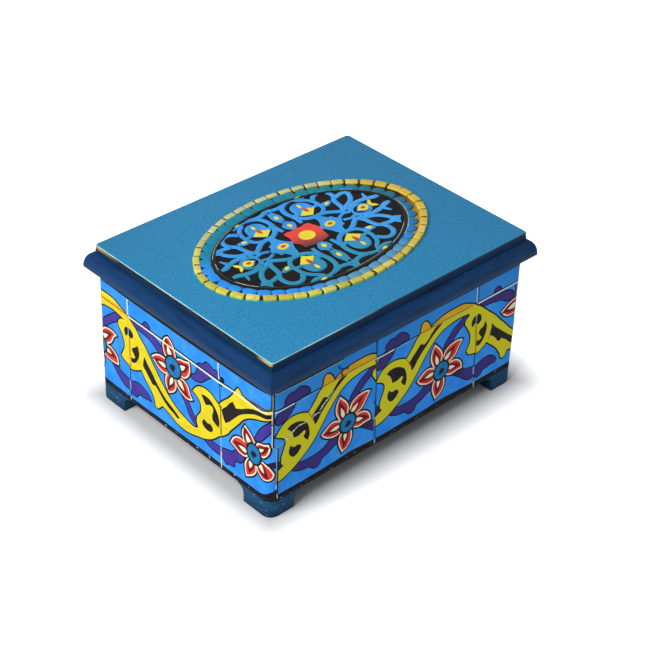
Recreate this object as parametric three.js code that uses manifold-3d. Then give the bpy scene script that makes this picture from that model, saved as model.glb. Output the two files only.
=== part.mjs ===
// A rectangular keepsake box on four corner feet, with a moulded lid on two small butt hinges.
// Millimetres, +Z up. The origin is on the floor under the middle of the box.
// The front is at -Y, the hinges are at the back, at +Y.
import * as THREE from "three";
import { mergeVertices } from "three/addons/utils/BufferGeometryUtils.js";
import Module from "manifold-3d";

const wasm = await Module();
wasm.setup();

// Box body, measured over the printed sheets
const bodyLength = 202;
const bodyWidth = 154;
const cornerRadius = 6;
const wallHeight = 77.6;
const boardThickness = 8;
const paperThickness = 0.3;
const paperCornerGap = 0.3; // kept between a board's rounded corner and the sheet around it
const seamGap = 0.3; // between two printed sheets
const mitreGap = 0.3; // between two boards or mouldings at a corner

// Base panel and feet
const basePanelThickness = 3;
const footHeight = 11.6;
const footLength = 18.5; // along the box's long sides, at the floor
const footWidth = 22.5; // along its short sides, at the floor
const footCoveRadius = 5; // the hollow at a foot's inner ends, which widens it towards the top
const footCoveLip = 0.8; // upright edge above the cove

// Lid
const lidGap = 0.3; // between the wall tops and the lid frame
const mouldingHeight = 13.3;
const mouldingOverhang = 5;
const mouldingBottomRound = 1.1;
const mouldingQuirk = 0.4; // how far the fillet above the ovolo steps back from the wall's face
const mouldingFillet = 2.5; // height of that fillet
const lidPanelThickness = 3;
const lidPanelCornerRadius = 1.6;
const lidPanelEdgeRound = 0.8;

// Oval plaque: half axes, and the rings on it from the outside in
const plaqueHalfLength = 80;
const plaqueHalfWidth = 52.2;
const plaqueEdgeHeight = 1;
const plaqueHeight = 2.4;
const ropeRingWidth = 5.5;
const petalRingWidth = 6.5;
const rimRingWidth = 2.8;
const rimRise = 0.5; // the dark rim stands this much above the petals
const petalDip = 0.3; // the groove between rope and petals

// Linings
const feltThickness = 1;
const feltMargin = 0.5;

// Hinges
const hingeSpacing = 112; // between the middles of the two hinges
const hingeLength = 25;
const leafThickness = 0.7;
const leafReach = 7; // from the back face of the box in over the board
const knuckleRadius = 1.25;
const knuckleStandOff = 0.25; // between the knuckle and the back face of the box
const knuckleGap = 0.3; // between barrels, and around them where a leaf or the moulding is cut
const reliefGap = 0.4; // around the knuckle in the moulding
const pinRadius = 0.55;
const pinClearance = 0.1;
const mortiseGap = 0.3; // round a leaf in its mortise

// Countersunk screws
const screwSpacing = 14; // between the two screws of a leaf
const screwHeadRadius = 1.4;
const screwShankRadius = 0.75;
const screwLength = 7;
const screwTipLength = 1.2;
const screwSlotWidth = 0.35;
const screwSlotDepth = 0.3;
const screwClearance = 0.15; // round the head in its countersink
const pilotClearance = 0.3; // round the shank and past the tip, in the wood

// Facets
const cornerSegments = 6;
const coveSegments = 5;
const mouldingSegments = 9;
const plaqueSegments = 64;
const barrelSegments = 16;
const screwSegments = 12;
const cutOverrun = 2; // cutting tools run past what they cut by this much
const mergeDistance = 0.0001;

// Places worked out from the sizes
const halfLength = bodyLength / 2;
const halfWidth = bodyWidth / 2;
const wallBottom = footHeight + basePanelThickness;
const wallTop = wallBottom + wallHeight;
const lidBottom = wallTop + lidGap;
const lidPanelBottom = lidBottom + mouldingHeight;
const lidTop = lidPanelBottom + lidPanelThickness;
const boardHalfLength = halfLength - paperThickness;
const boardHalfWidth = halfWidth - paperThickness;
const innerHalfLength = boardHalfLength - boardThickness;
const innerHalfWidth = boardHalfWidth - boardThickness;
const hingeAxisY = halfWidth + knuckleStandOff + knuckleRadius;
const hingeAxisZ = wallTop + lidGap / 2;
const screwY = boardHalfWidth - boardThickness / 2;
// Two arcs tangent to the same walls stand (sqrt(2) - 1) times their difference in radius apart
const boardCornerRadius = cornerRadius - paperThickness + paperCornerGap / (Math.SQRT2 - 1);

const colours = {
  lidBlue: 0x3286b4,
  navy: 0x1b3f78,
  darkEdge: 0x2b2a2c,
  footTeal: 0x24506f,
  printBlue: 0x338cf0,
  board: 0x9c7a50,
  plaque: 0xb9a63a,
  felt: 0x1d2c55,
  brass: 0xb58e3c,
};

function finish(colour, roughness, metalness = 0) {
  return new THREE.MeshStandardMaterial({ color: colour, roughness, metalness });
}

function node(name, geometry, material) {
  const mesh = new THREE.Mesh(geometry, material);
  mesh.name = name;
  return mesh;
}

// Solids for the boolean cuts

function solidOf(geometry) {
  const loose = geometry.index ? geometry.toNonIndexed() : geometry;
  const bare = new THREE.BufferGeometry();
  bare.setAttribute("position", loose.getAttribute("position"));
  const merged = mergeVertices(bare, mergeDistance);
  return new wasm.Manifold(
    new wasm.Mesh({
      numProp: 3,
      vertProperties: merged.attributes.position.array,
      triVerts: new Uint32Array(merged.index.array),
    }),
  );
}

function geometryOf(solid) {
  const mesh = solid.getMesh();
  const geometry = new THREE.BufferGeometry();
  geometry.setAttribute("position", new THREE.BufferAttribute(mesh.vertProperties, mesh.numProp));
  geometry.setIndex(new THREE.BufferAttribute(mesh.triVerts, 1));
  return geometry;
}

function cut(geometry, ...tools) {
  return geometryOf(tools.reduce((left, tool) => left.subtract(solidOf(tool)), solidOf(geometry)));
}

function keep(geometry, region) {
  return geometryOf(solidOf(geometry).intersect(solidOf(region)));
}

function join(...geometries) {
  return geometryOf(geometries.map(solidOf).reduce((sum, solid) => sum.add(solid)));
}

// Plain shapes

function block([x0, x1], [y0, y1], [z0, z1]) {
  const box = new THREE.BoxGeometry(x1 - x0, y1 - y0, z1 - z0);
  return box.translate((x0 + x1) / 2, (y0 + y1) / 2, (z0 + z1) / 2);
}

function barrel(radius, [x0, x1]) {
  const cylinder = new THREE.CylinderGeometry(radius, radius, x1 - x0, barrelSegments);
  return cylinder.rotateZ(Math.PI / 2).translate((x0 + x1) / 2, hingeAxisY, hingeAxisZ);
}

function roundedRectangle(halfX, halfY, radius) {
  const shape = new THREE.Shape();
  shape.absarc(halfX - radius, halfY - radius, radius, 0, Math.PI / 2);
  shape.absarc(radius - halfX, halfY - radius, radius, Math.PI / 2, Math.PI);
  shape.absarc(radius - halfX, radius - halfY, radius, Math.PI, -Math.PI / 2);
  shape.absarc(halfX - radius, radius - halfY, radius, -Math.PI / 2, 0);
  return shape;
}

function extrude(shape, [z0, z1], more = {}) {
  const settings = { depth: z1 - z0, bevelEnabled: false, curveSegments: cornerSegments, ...more };
  return new THREE.ExtrudeGeometry(shape, settings).translate(0, 0, z0);
}

// Walls and printed sheets

function ring(outer, inner) {
  outer.holes.push(inner);
  return extrude(outer, [wallBottom, wallTop]);
}

// Covers the front quarter of a frame, with ends at 45 degrees that stop short of the mitre
function mitreRegion(halfAlong, halfAcross, depth) {
  const shortening = mitreGap * Math.SQRT1_2;
  const outerX = halfAlong + cutOverrun - shortening;
  const outerY = halfAcross + cutOverrun;
  const innerX = halfAlong - depth - cutOverrun - shortening;
  const innerY = halfAcross - depth - cutOverrun;
  const corners = [
    new THREE.Vector2(-outerX, -outerY),
    new THREE.Vector2(outerX, -outerY),
    new THREE.Vector2(innerX, -innerY),
    new THREE.Vector2(-innerX, -innerY),
  ];
  return extrude(new THREE.Shape(corners), [wallBottom - cutOverrun, wallTop + cutOverrun]);
}

// The four sides of the box: quarter turns from the front, and the half sizes they turn with
const sides = [
  { name: "front", turn: 0, along: boardHalfLength, across: boardHalfWidth },
  { name: "right", turn: Math.PI / 2, along: boardHalfWidth, across: boardHalfLength },
  { name: "back", turn: Math.PI, along: boardHalfLength, across: boardHalfWidth },
  { name: "left", turn: -Math.PI / 2, along: boardHalfWidth, across: boardHalfLength },
];

function wall({ turn, along, across }) {
  const boards = ring(
    roundedRectangle(boardHalfLength, boardHalfWidth, boardCornerRadius),
    new THREE.Path([
      new THREE.Vector2(innerHalfLength, innerHalfWidth),
      new THREE.Vector2(-innerHalfLength, innerHalfWidth),
      new THREE.Vector2(-innerHalfLength, -innerHalfWidth),
      new THREE.Vector2(innerHalfLength, -innerHalfWidth),
    ]),
  );
  return keep(boards, mitreRegion(along, across, boardThickness).rotateZ(turn));
}

function printedSheet(region) {
  const sheets = ring(
    roundedRectangle(halfLength, halfWidth, cornerRadius),
    roundedRectangle(boardHalfLength, boardHalfWidth, cornerRadius - paperThickness),
  );
  return keep(sheets, region);
}

function sheetRegion(xs, ys) {
  return block(xs, ys, [wallBottom - cutOverrun, wallTop + cutOverrun]);
}

const seamX = halfLength - cornerRadius; // the seams lie where the rounded corners begin
const outside = { x: halfLength + cutOverrun, y: halfWidth + cutOverrun };
const sheetRegions = {
  front: sheetRegion([seamGap - seamX, seamX - seamGap], [-outside.y, 0]),
  right: sheetRegion([seamX, outside.x], [-outside.y, outside.y]),
  back: sheetRegion([seamGap - seamX, seamX - seamGap], [0, outside.y]),
  left: sheetRegion([-outside.x, -seamX], [-outside.y, outside.y]),
};

// Feet: an extruded corner block whose inner ends follow a hollow as they rise

const footLevels = Array.from({ length: coveSegments + 1 }, (_, i) => {
  const angle = (i / coveSegments) * (Math.PI / 2);
  return {
    z: footHeight - footCoveLip - footCoveRadius * (1 - Math.sin(angle)),
    reach: footCoveRadius * (1 - Math.cos(angle)),
  };
});
footLevels.unshift({ z: 0, reach: 0 });
footLevels.push({ z: footHeight, reach: footCoveRadius });

function foot(sideX, sideY) {
  const innerX = sideX * (halfLength - footLength);
  const innerY = sideY * (halfWidth - footWidth);
  const shape = new THREE.Shape([
    new THREE.Vector2(innerX, innerY),
    new THREE.Vector2(sideX * halfLength, innerY),
    ...Array.from({ length: cornerSegments + 1 }, (_, i) => {
      const angle = (i / cornerSegments) * (Math.PI / 2);
      return new THREE.Vector2(
        sideX * (halfLength - cornerRadius + cornerRadius * Math.cos(angle)),
        sideY * (halfWidth - cornerRadius + cornerRadius * Math.sin(angle)),
      );
    }),
    new THREE.Vector2(innerX, sideY * halfWidth),
  ]);
  const steps = footLevels.length - 1;
  const geometry = extrude(shape, [0, footHeight], { steps });
  const points = geometry.getAttribute("position");
  for (let i = 0; i < points.count; i++) {
    const level = footLevels[Math.round((points.getZ(i) / footHeight) * steps)];
    const x = points.getX(i);
    const y = points.getY(i);
    const atInnerX = Math.abs(x - innerX) < mergeDistance;
    const atInnerY = Math.abs(y - innerY) < mergeDistance;
    points.setXYZ(
      i,
      atInnerX ? x - sideX * level.reach : x,
      atInnerY ? y - sideY * level.reach : y,
      level.z,
    );
  }
  return geometry;
}

// Lid frame: an ovolo moulding, extruded to unit length and stretched to its two mitres

function mouldingProfile() {
  const filletBottom = mouldingHeight - mouldingFillet;
  const profile = new THREE.Shape();
  profile.moveTo(-(boardThickness + paperThickness), 0);
  profile.absarc(
    mouldingOverhang - mouldingBottomRound,
    mouldingBottomRound,
    mouldingBottomRound,
    -Math.PI / 2,
    0,
  );
  profile.absellipse(
    -mouldingQuirk,
    mouldingBottomRound,
    mouldingOverhang + mouldingQuirk,
    filletBottom - mouldingBottomRound,
    0,
    Math.PI / 2,
  );
  profile.lineTo(-mouldingQuirk, mouldingHeight);
  profile.lineTo(-(boardThickness + paperThickness), mouldingHeight);
  return profile;
}

function moulding({ turn, along, across }) {
  const unit = 1;
  const geometry = extrude(mouldingProfile(), [0, unit], { curveSegments: mouldingSegments });
  const points = geometry.getAttribute("position");
  for (let i = 0; i < points.count; i++) {
    const out = points.getX(i);
    const end = unit - points.getZ(i) * 2;
    const reach = along + paperThickness + out - mitreGap * Math.SQRT1_2;
    points.setXYZ(i, end * reach, -(across + paperThickness + out), lidBottom + points.getY(i));
  }
  return geometry.rotateZ(turn);
}

function lidPanel() {
  const shape = roundedRectangle(
    halfLength - lidPanelEdgeRound,
    halfWidth - lidPanelEdgeRound,
    lidPanelCornerRadius,
  );
  return extrude(shape, [lidPanelBottom + lidPanelEdgeRound, lidTop - lidPanelEdgeRound], {
    bevelEnabled: true,
    bevelSize: lidPanelEdgeRound,
    bevelThickness: lidPanelEdgeRound,
    bevelSegments: 2,
    curveSegments: 2,
  });
}

// The plaque is turned as a round disc, then narrowed so that its rings keep their width all round
function plaque() {
  const petalOuter = plaqueHalfLength - ropeRingWidth;
  const rimOuter = petalOuter - petalRingWidth;
  const fieldRadius = rimOuter - rimRingWidth;
  const profile = [
    new THREE.Vector2(0, 0),
    new THREE.Vector2(plaqueHalfLength, 0),
    new THREE.Vector2(plaqueHalfLength, plaqueEdgeHeight),
    new THREE.Vector2(plaqueHalfLength - ropeRingWidth / 4, plaqueHeight - petalDip),
    new THREE.Vector2(plaqueHalfLength - ropeRingWidth / 2, plaqueHeight),
    new THREE.Vector2(petalOuter, plaqueHeight - petalDip),
    new THREE.Vector2(rimOuter, plaqueHeight),
    new THREE.Vector2(rimOuter - rimRingWidth / 4, plaqueHeight + rimRise),
    new THREE.Vector2(fieldRadius + rimRingWidth / 4, plaqueHeight + rimRise),
    new THREE.Vector2(fieldRadius, plaqueHeight),
    new THREE.Vector2(0, plaqueHeight),
  ];
  const geometry = new THREE.LatheGeometry(profile, plaqueSegments).rotateX(Math.PI / 2);
  const points = geometry.getAttribute("position");
  const difference = plaqueHalfLength - plaqueHalfWidth;
  for (let i = 0; i < points.count; i++) {
    const radius = Math.max(Math.hypot(points.getX(i), points.getY(i)), fieldRadius);
    points.setY(i, (points.getY(i) * (radius - difference)) / radius);
  }
  return geometry.translate(0, 0, lidTop);
}

function felt(bottom) {
  const x = innerHalfLength - feltMargin;
  const y = innerHalfWidth - feltMargin;
  return block([-x, x], [-y, y], [bottom, bottom + feltThickness]);
}

// Hinges: each has a leaf let into the wall top, a leaf let into the lid frame, and a pin

const barrelEnd = hingeLength / 2;
const barrelSplit = hingeLength / 6; // three barrels of equal length
const hinges = [
  { name: "hinge_left", x: -hingeSpacing / 2 },
  { name: "hinge_right", x: hingeSpacing / 2 },
];

function leafPlate(x, bottom) {
  return block(
    [x - barrelEnd, x + barrelEnd],
    [halfWidth - leafReach, hingeAxisY],
    [bottom, bottom + leafThickness],
  );
}

function barrelNotch([x0, x1]) {
  const reach = knuckleRadius + knuckleGap;
  return block(
    [x0 - knuckleGap / 2, x1 + knuckleGap / 2],
    [hingeAxisY - reach, hingeAxisY + reach],
    [hingeAxisZ - reach, hingeAxisZ + reach],
  );
}

function leaf(plate, ownBarrels, otherBarrels, screwHoles) {
  const notched = cut(plate, ...otherBarrels.map(barrelNotch));
  const knuckled = join(notched, ...ownBarrels.map((span) => barrel(knuckleRadius, span)));
  const ends = ownBarrels.flat();
  const hole = [Math.min(...ends) - cutOverrun, Math.max(...ends) + cutOverrun];
  return cut(knuckled, barrel(pinRadius + pinClearance, hole), ...screwHoles);
}

function barrelSpans(x) {
  const gap = knuckleGap / 2;
  return {
    outer: [
      [x - barrelEnd, x - barrelSplit - gap],
      [x + barrelSplit + gap, x + barrelEnd],
    ],
    middle: [[x - barrelSplit + gap, x + barrelSplit - gap]],
  };
}

// A screw profile with its flat head at height 0 and its tip below, widened by a clearance
function screwTool(x, head, up, clearance, overrun = 0) {
  const headRadius = screwHeadRadius + clearance;
  const shankRadius = screwShankRadius + clearance;
  const profile = [
    new THREE.Vector2(0, -screwLength - clearance),
    new THREE.Vector2(shankRadius, screwTipLength - screwLength),
    new THREE.Vector2(shankRadius, -leafThickness),
    new THREE.Vector2(headRadius, 0),
    new THREE.Vector2(headRadius, overrun),
    new THREE.Vector2(0, overrun),
  ].filter((point, i, all) => i === 0 || !point.equals(all[i - 1]));
  const geometry = new THREE.LatheGeometry(profile, screwSegments).rotateX(Math.PI / 2);
  return (up ? geometry.rotateX(Math.PI) : geometry).translate(x, screwY, head);
}

function screw(x, head, up) {
  const across = screwHeadRadius + cutOverrun;
  const slot = block(
    [x - screwSlotWidth / 2, x + screwSlotWidth / 2],
    [screwY - across, screwY + across],
    up ? [head - cutOverrun, head + screwSlotDepth] : [head - screwSlotDepth, head + cutOverrun],
  );
  return cut(screwTool(x, head, up, 0), slot);
}

function screwPlaces(x) {
  return { outer: x - screwSpacing / 2, inner: x + screwSpacing / 2 };
}

const mortises = hinges.map(({ x }) =>
  block(
    [x - barrelEnd - mortiseGap, x + barrelEnd + mortiseGap],
    [halfWidth - leafReach - mortiseGap, halfWidth + cutOverrun],
    [wallTop - leafThickness, lidBottom + leafThickness],
  ),
);

const reliefs = hinges.map(({ x }) =>
  block(
    [x - barrelEnd - mortiseGap, x + barrelEnd + mortiseGap],
    [hingeAxisY - knuckleRadius - reliefGap, halfWidth + mouldingOverhang + cutOverrun],
    [lidBottom - cutOverrun, hingeAxisZ + knuckleRadius + reliefGap],
  ),
);

function pilotHoles(head, up) {
  return hinges
    .flatMap(({ x }) => Object.values(screwPlaces(x)))
    .map((x) => screwTool(x, head, up, pilotClearance, cutOverrun));
}

// The box

const part = new THREE.Group();
const box = new THREE.Group();
const lid = new THREE.Group();
part.add(box, lid);

const basePanel = extrude(roundedRectangle(halfLength, halfWidth, cornerRadius), [footHeight, wallBottom]);
box.add(node("base_panel", basePanel, finish(colours.darkEdge, 0.7)));

for (const [name, sideX, sideY] of [
  ["foot_front_left", -1, -1],
  ["foot_front_right", 1, -1],
  ["foot_back_left", -1, 1],
  ["foot_back_right", 1, 1],
])
  box.add(node(name, foot(sideX, sideY), finish(colours.footTeal, 0.6)));

for (const side of sides) {
  const atBack = side.name === "back";
  const boardCuts = atBack ? [...mortises, ...pilotHoles(wallTop, false)] : [];
  const sheetCuts = atBack ? mortises : [];
  const board = cut(wall(side), ...boardCuts);
  const sheet = cut(printedSheet(sheetRegions[side.name]), ...sheetCuts);
  const frame = cut(moulding(side), ...(atBack ? [...mortises, ...reliefs, ...pilotHoles(lidBottom, true)] : []));
  box.add(node(`wall_${side.name}`, board, finish(colours.board, 0.8)));
  box.add(node(`print_${side.name}`, sheet, finish(colours.printBlue, 0.45)));
  lid.add(node(`moulding_${side.name}`, frame, finish(colours.navy, 0.5)));
}

box.add(node("floor_felt", felt(wallBottom), finish(colours.felt, 1)));

// The lid

lid.add(node("lid_panel", lidPanel(), finish(colours.lidBlue, 0.6)));
lid.add(node("lid_medallion", plaque(), finish(colours.plaque, 0.4)));
lid.add(node("lid_felt", felt(lidPanelBottom - feltThickness), finish(colours.felt, 1)));

// Hinges and their screws

for (const { name, x } of hinges) {
  const { outer, middle } = barrelSpans(x);
  const wallHoles = Object.values(screwPlaces(x)).map((place) =>
    screwTool(place, wallTop, false, screwClearance, cutOverrun),
  );
  const lidHoles = Object.values(screwPlaces(x)).map((place) =>
    screwTool(place, lidBottom, true, screwClearance, cutOverrun),
  );
  const wallLeaf = leaf(leafPlate(x, wallTop - leafThickness), outer, middle, wallHoles);
  const lidLeaf = leaf(leafPlate(x, lidBottom), middle, outer, lidHoles);
  const brass = () => finish(colours.brass, 0.35, 1);
  box.add(node(`${name}_wall_leaf`, wallLeaf, brass()));
  lid.add(node(`${name}_lid_leaf`, lidLeaf, brass()));
  box.add(node(`${name}_pin`, barrel(pinRadius, [x - barrelEnd, x + barrelEnd]), brass()));
  for (const [place, screwX] of Object.entries(screwPlaces(x))) {
    box.add(node(`${name}_wall_screw_${place}`, screw(screwX, wallTop, false), brass()));
    lid.add(node(`${name}_lid_screw_${place}`, screw(screwX, lidBottom, true), brass()));
  }
}

export default part;
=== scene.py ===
# %% [markdown]
# This lesson dresses a keepsake box with a hinged lid. The CAD frame brings every board, foot and hinge in
# its true place. The printed sheets, the relief on the lid, the felt and the paint are made here. All of it
# could be drawn again in Blender, but then every size would live in two places, so the frame is imported
# and the new pieces are built round it, in metres and in the same axes.

import math

import bmesh
import bpy
from mathutils import Color, Matrix, Vector, noise


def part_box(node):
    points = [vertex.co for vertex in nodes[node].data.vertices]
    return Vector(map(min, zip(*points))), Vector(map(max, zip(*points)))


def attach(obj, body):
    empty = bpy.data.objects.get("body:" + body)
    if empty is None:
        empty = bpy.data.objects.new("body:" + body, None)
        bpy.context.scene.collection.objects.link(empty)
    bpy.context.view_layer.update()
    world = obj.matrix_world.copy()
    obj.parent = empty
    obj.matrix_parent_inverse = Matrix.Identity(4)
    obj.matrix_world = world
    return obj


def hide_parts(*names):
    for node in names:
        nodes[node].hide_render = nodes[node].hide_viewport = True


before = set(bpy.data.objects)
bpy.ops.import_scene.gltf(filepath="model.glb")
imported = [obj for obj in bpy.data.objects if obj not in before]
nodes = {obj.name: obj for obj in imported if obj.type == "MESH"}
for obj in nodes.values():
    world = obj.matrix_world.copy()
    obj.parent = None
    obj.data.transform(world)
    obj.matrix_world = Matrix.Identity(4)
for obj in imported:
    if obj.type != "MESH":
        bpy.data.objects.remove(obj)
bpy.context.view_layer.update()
mm = 0.001

# %% [markdown]
# The print and the relief follow the boards of the box, so a maker measures those first. The sizes could be
# typed in, but measuring the frame keeps the dress on the box when the CAD changes. Only the rounding of
# the upright corners has to be told, because a bounding box doesn't show it.

# %% Measure the boards
base_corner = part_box("base_panel")[1] / mm
half_length = round(base_corner.x, 1)
half_width = round(base_corner.y, 1)
lid_top = round(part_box("lid_panel")[1].z / mm, 1)
wall_top = round(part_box("wall_front")[1].z / mm, 1)
corner = 6.0
print("half length", half_length, "half width", half_width, "wall top", wall_top, "lid top", lid_top)

# %% [markdown]
# The box is painted and printed in a few dozen colours, each picked from the photo as a screen shows it. A
# shader needs linear light instead, where half as bright is half the number. Typing linear numbers would
# hide what colour is meant, so a helper turns one into the other.

# %% Screen colours
full_channel = 255


def linear(rgb):
    """A colour as a screen shows it, 0 to 255, as linear red, green, blue and alpha."""
    shown = Color([channel / full_channel for channel in rgb])
    return (*shown.from_srgb_to_scene_linear(), 1.0)


print("middle grey in linear light:", [round(v, 3) for v in linear((128, 128, 128))])

# %% [markdown]
# Every finish is a small network of shader nodes, which Blender's editor would build by hand. The same few
# moves come back each time: add a node, feed it and mix a colour over another one. Written as helpers they
# keep the paints below short. An input takes an output to follow or a plain value.

# %% Helpers for shader nodes


def link(owner, output, target):
    """Joins an output to an input in the node tree of a material or a world."""
    owner.node_tree.links.new(output, target)


def feed(owner, target, value):
    """Lets an input follow an output, or sets a plain value on the input itself."""
    if isinstance(value, bpy.types.NodeSocket):
        link(owner, value, target)
    else:
        target.default_value = value


def feed_all(owner, node, values):
    """Feeds the inputs of a node by their names."""
    for name, value in values.items():
        feed(owner, node.inputs[name], value)


def add_node(owner, kind, *inputs, **options):
    """A node with its options set and its first inputs fed."""
    made = owner.node_tree.nodes.new(kind)
    for name, value in options.items():
        setattr(made, name, value)
    for target, value in zip(made.inputs, inputs):
        feed(owner, target, value)
    return made


for kind in (feed, feed_all, add_node):
    print(kind.__name__, "ready:", kind.__doc__)

# %% [markdown]
# A finish mixes colours: a tint over a ground, dirt over paint, a speck over both. Where the added colour
# shows is told by a factor between zero and one, which comes from a noise or from a place. A colour ramp
# could do both jobs at once, but one node for each job can be read and reused.

# %% Mixing colours
# a Mix node lists its sockets for numbers and vectors before the colours
mix_factor, mix_base, mix_added, mixed_colour = 0, 6, 7, 2


def blend_in(owner, base, factor, added):
    """Mixes a colour over base by factor and returns the new colour."""
    mix = add_node(owner, "ShaderNodeMix", data_type="RGBA")
    for place, value in ((mix_factor, factor), (mix_base, base), (mix_added, added)):
        feed(owner, mix.inputs[place], value)
    return mix.outputs[mixed_colour]


def ramp_between(owner, value, start, end):
    """Zero at start, one at end, limited to that range."""
    return add_node(owner, "ShaderNodeMapRange", value, start, end, clamp=True).outputs[0]


def noise_through(owner, coordinates, scale, detail, roughness=0.5):
    """Cloudy noise between 0 and 1, finer as the scale grows."""
    made = add_node(owner, "ShaderNodeTexNoise", coordinates)
    feed_all(owner, made, {"Scale": scale, "Detail": detail, "Roughness": roughness})
    return made.outputs[0]


print("colours mix through inputs", mix_factor, mix_base, "and", mix_added)

# %% [markdown]
# Old paint is never one flat colour. It is thinner or dirtier towards an edge, and it carries fine specks.
# An image could hold that, but it would blur close up and has to be laid out on every piece. So a fade
# grows along a direction from one distance to another, and specks are the peaks of a fine noise.

# %% Fades and specks
speck_detail = 4.0
speck_edge = 0.04


def fade_in(material, place, colour, direction, begin, end, faded, strength):
    """Adds a colour that grows along a direction, between two distances in millimetres."""
    along = add_node(material, "ShaderNodeVectorMath", place, direction, operation="DOT_PRODUCT")
    share = ramp_between(material, along.outputs["Value"], begin * mm, end * mm)
    scaled = add_node(material, "ShaderNodeMath", share, strength, operation="MULTIPLY")
    return blend_in(material, colour, scaled.outputs[0], linear(faded))


def speckle(material, place, colour, speck, scale, level):
    """Adds specks wherever a fine noise rises above a level."""
    dots = noise_through(material, place, scale, speck_detail)
    peaks = ramp_between(material, dots, level, level + speck_edge)
    return blend_in(material, colour, peaks, linear(speck))


print("fades and specks ready")

# %% [markdown]
# Brushed paint lies in streaks, and light catches its fine ridges more than its colour. A plain shader
# value would look like plastic. Each paint therefore wanders between two colours along a stretched noise,
# and a finer noise moves its roughness and lifts a low bump.

# %% Paint
streak_levels = (0.42, 0.72)
streak_detail, streak_roughness = 6.0, 0.65
finer, fine_detail = 9, 3.0
duller_low, duller_high = -0.06, 0.08
ridge = 0.2 * mm


def paint(name, rgb, tint, rough=0.5, grain=90.0, stretch=(1, 1, 1), bump=0.1, specks=None, fades=(),
          metal=0.0, gloss=0.05, sheen=0.0):
    """A paint between two screen colours, with its streaks, specks, fades and fine ridges."""
    material = bpy.data.materials.new(name)
    material.use_nodes = True
    shader = material.node_tree.nodes["Principled BSDF"]
    place = add_node(material, "ShaderNodeTexCoord").outputs["Object"]
    mapping = add_node(material, "ShaderNodeMapping", place)
    mapping.inputs["Scale"].default_value = stretch
    stretched = mapping.outputs[0]
    streaks = noise_through(material, stretched, grain, streak_detail, streak_roughness)
    streak_share = ramp_between(material, streaks, *streak_levels)
    colour = blend_in(material, linear(rgb), streak_share, linear(tint))
    for fade in fades:
        colour = fade_in(material, place, colour, *fade)
    if specks:
        colour = speckle(material, stretched, colour, *specks)
    fine = noise_through(material, stretched, grain * finer, fine_detail)
    dullness = (rough + duller_low, rough + duller_high)
    roughness = add_node(material, "ShaderNodeMapRange", fine, 0.0, 1.0, *dullness)
    lift = add_node(material, "ShaderNodeBump")
    feed_all(material, lift, {"Strength": bump, "Distance": ridge, "Height": fine})
    feed_all(material, shader, {"Base Color": colour, "Roughness": roughness.outputs[0],
                                "Normal": lift.outputs[0], "Metallic": metal,
                                "Specular IOR Level": gloss, "Sheen Weight": sheen})
    return material


def print_ink(name, rgb, tint, grain=120, rough=0.42, **more):
    """An ink of the printed sheets: smooth, with hardly any ridges."""
    return paint("print_" + name, rgb, tint, rough, grain, bump=0.05, **more)


sky = print_ink("blue", (42, 142, 242), (70, 164, 254), 90)
# a darker blue for the tile row under the lid: painted shade under the moulding's overhang
sky_row_shaded = print_ink("blue_row_shaded", (44, 140, 228), (60, 150, 235), 60)
print("paint ready, ground colours of the print:", sky.name, sky_row_shaded.name)

# %% [markdown]
# The walls carry a printed tile pattern: scrolls, leaves and flowers, each outlined in ink. A picture on
# the wall would be quick, but it would only hold as many dots as it was saved with. Here each patch of ink
# is a thin closed solid, and all patches of one sheet are gathered in one mesh.

# %% Many thin shapes in one mesh


class Stack:
    """Thin solids gathered in one mesh, with their materials and the cuts that all of them share."""

    def __init__(self):
        self.bm = bmesh.new()
        self.materials = []
        self.cuts = ()

    def take(self, shape, material):
        """Moves a finished solid into the mesh, in one material."""
        if material not in self.materials:
            self.materials.append(material)
        for face in shape.faces:
            face.material_index = self.materials.index(material)
        mesh = bpy.data.meshes.new("shape")
        shape.to_mesh(mesh)
        shape.free()
        self.bm.from_mesh(mesh)
        bpy.data.meshes.remove(mesh)


print("an empty stack has", len(Stack().materials), "materials")

# %% [markdown]
# Both the flat patches of ink and the round bands of the relief start as curves, because a curve needs few
# points and Blender fills or bevels it by itself. A curve has no faces to cut or weld, though. So it is
# turned into a mesh first, and its doubled points are merged, which closes the solid.

# %% From a curve to a solid
weld = 1e-7


def as_bmesh(curve):
    """The surface of a curve as a welded bmesh. The curve itself is deleted."""
    holder = bpy.data.objects.new("curve", curve)
    bpy.context.scene.collection.objects.link(holder)
    mesh = bpy.data.meshes.new_from_object(holder.evaluated_get(bpy.context.evaluated_depsgraph_get()))
    shape = bmesh.new()
    shape.from_mesh(mesh)
    bmesh.ops.remove_doubles(shape, verts=shape.verts, dist=weld)
    bpy.data.objects.remove(holder)
    bpy.data.curves.remove(curve)
    bpy.data.meshes.remove(mesh)
    return shape


def add_spline(curve, points, closed):
    """Adds a smooth spline in millimetres and returns each of its knots with the point it came from."""
    spline = curve.splines.new("BEZIER")
    spline.bezier_points.add(len(points) - 1)
    spline.use_cyclic_u = closed
    for knot, point in zip(spline.bezier_points, points):
        knot.co = (point[0] * mm, point[1] * mm, 0)
        knot.handle_left_type = "AUTO"
        knot.handle_right_type = "AUTO"
    return zip(spline.bezier_points, points)


print("points closer than", weld / mm, "mm are welded")

# %% [markdown]
# A tile that meets the end of a wall is cut there, as a printer's sheet is trimmed. A boolean with a big
# block would do it, but a straight cut is lighter: a plane bisects the solid, one side is dropped and the
# open cut is filled. Shapes that lie far outside a cut are skipped before they are built.

# %% Straight cuts
along_wall, up_wall = 0, 1
spare = 1.5


def keep(right_of=None, left_of=None, above=None, below=None):
    """The cuts that leave what lies between the given lines, in millimetres."""
    lines_given = ((along_wall, right_of, True), (along_wall, left_of, False),
                   (up_wall, above, True), (up_wall, below, False))
    return tuple(cut for cut in lines_given if cut[1] is not None)


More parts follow.
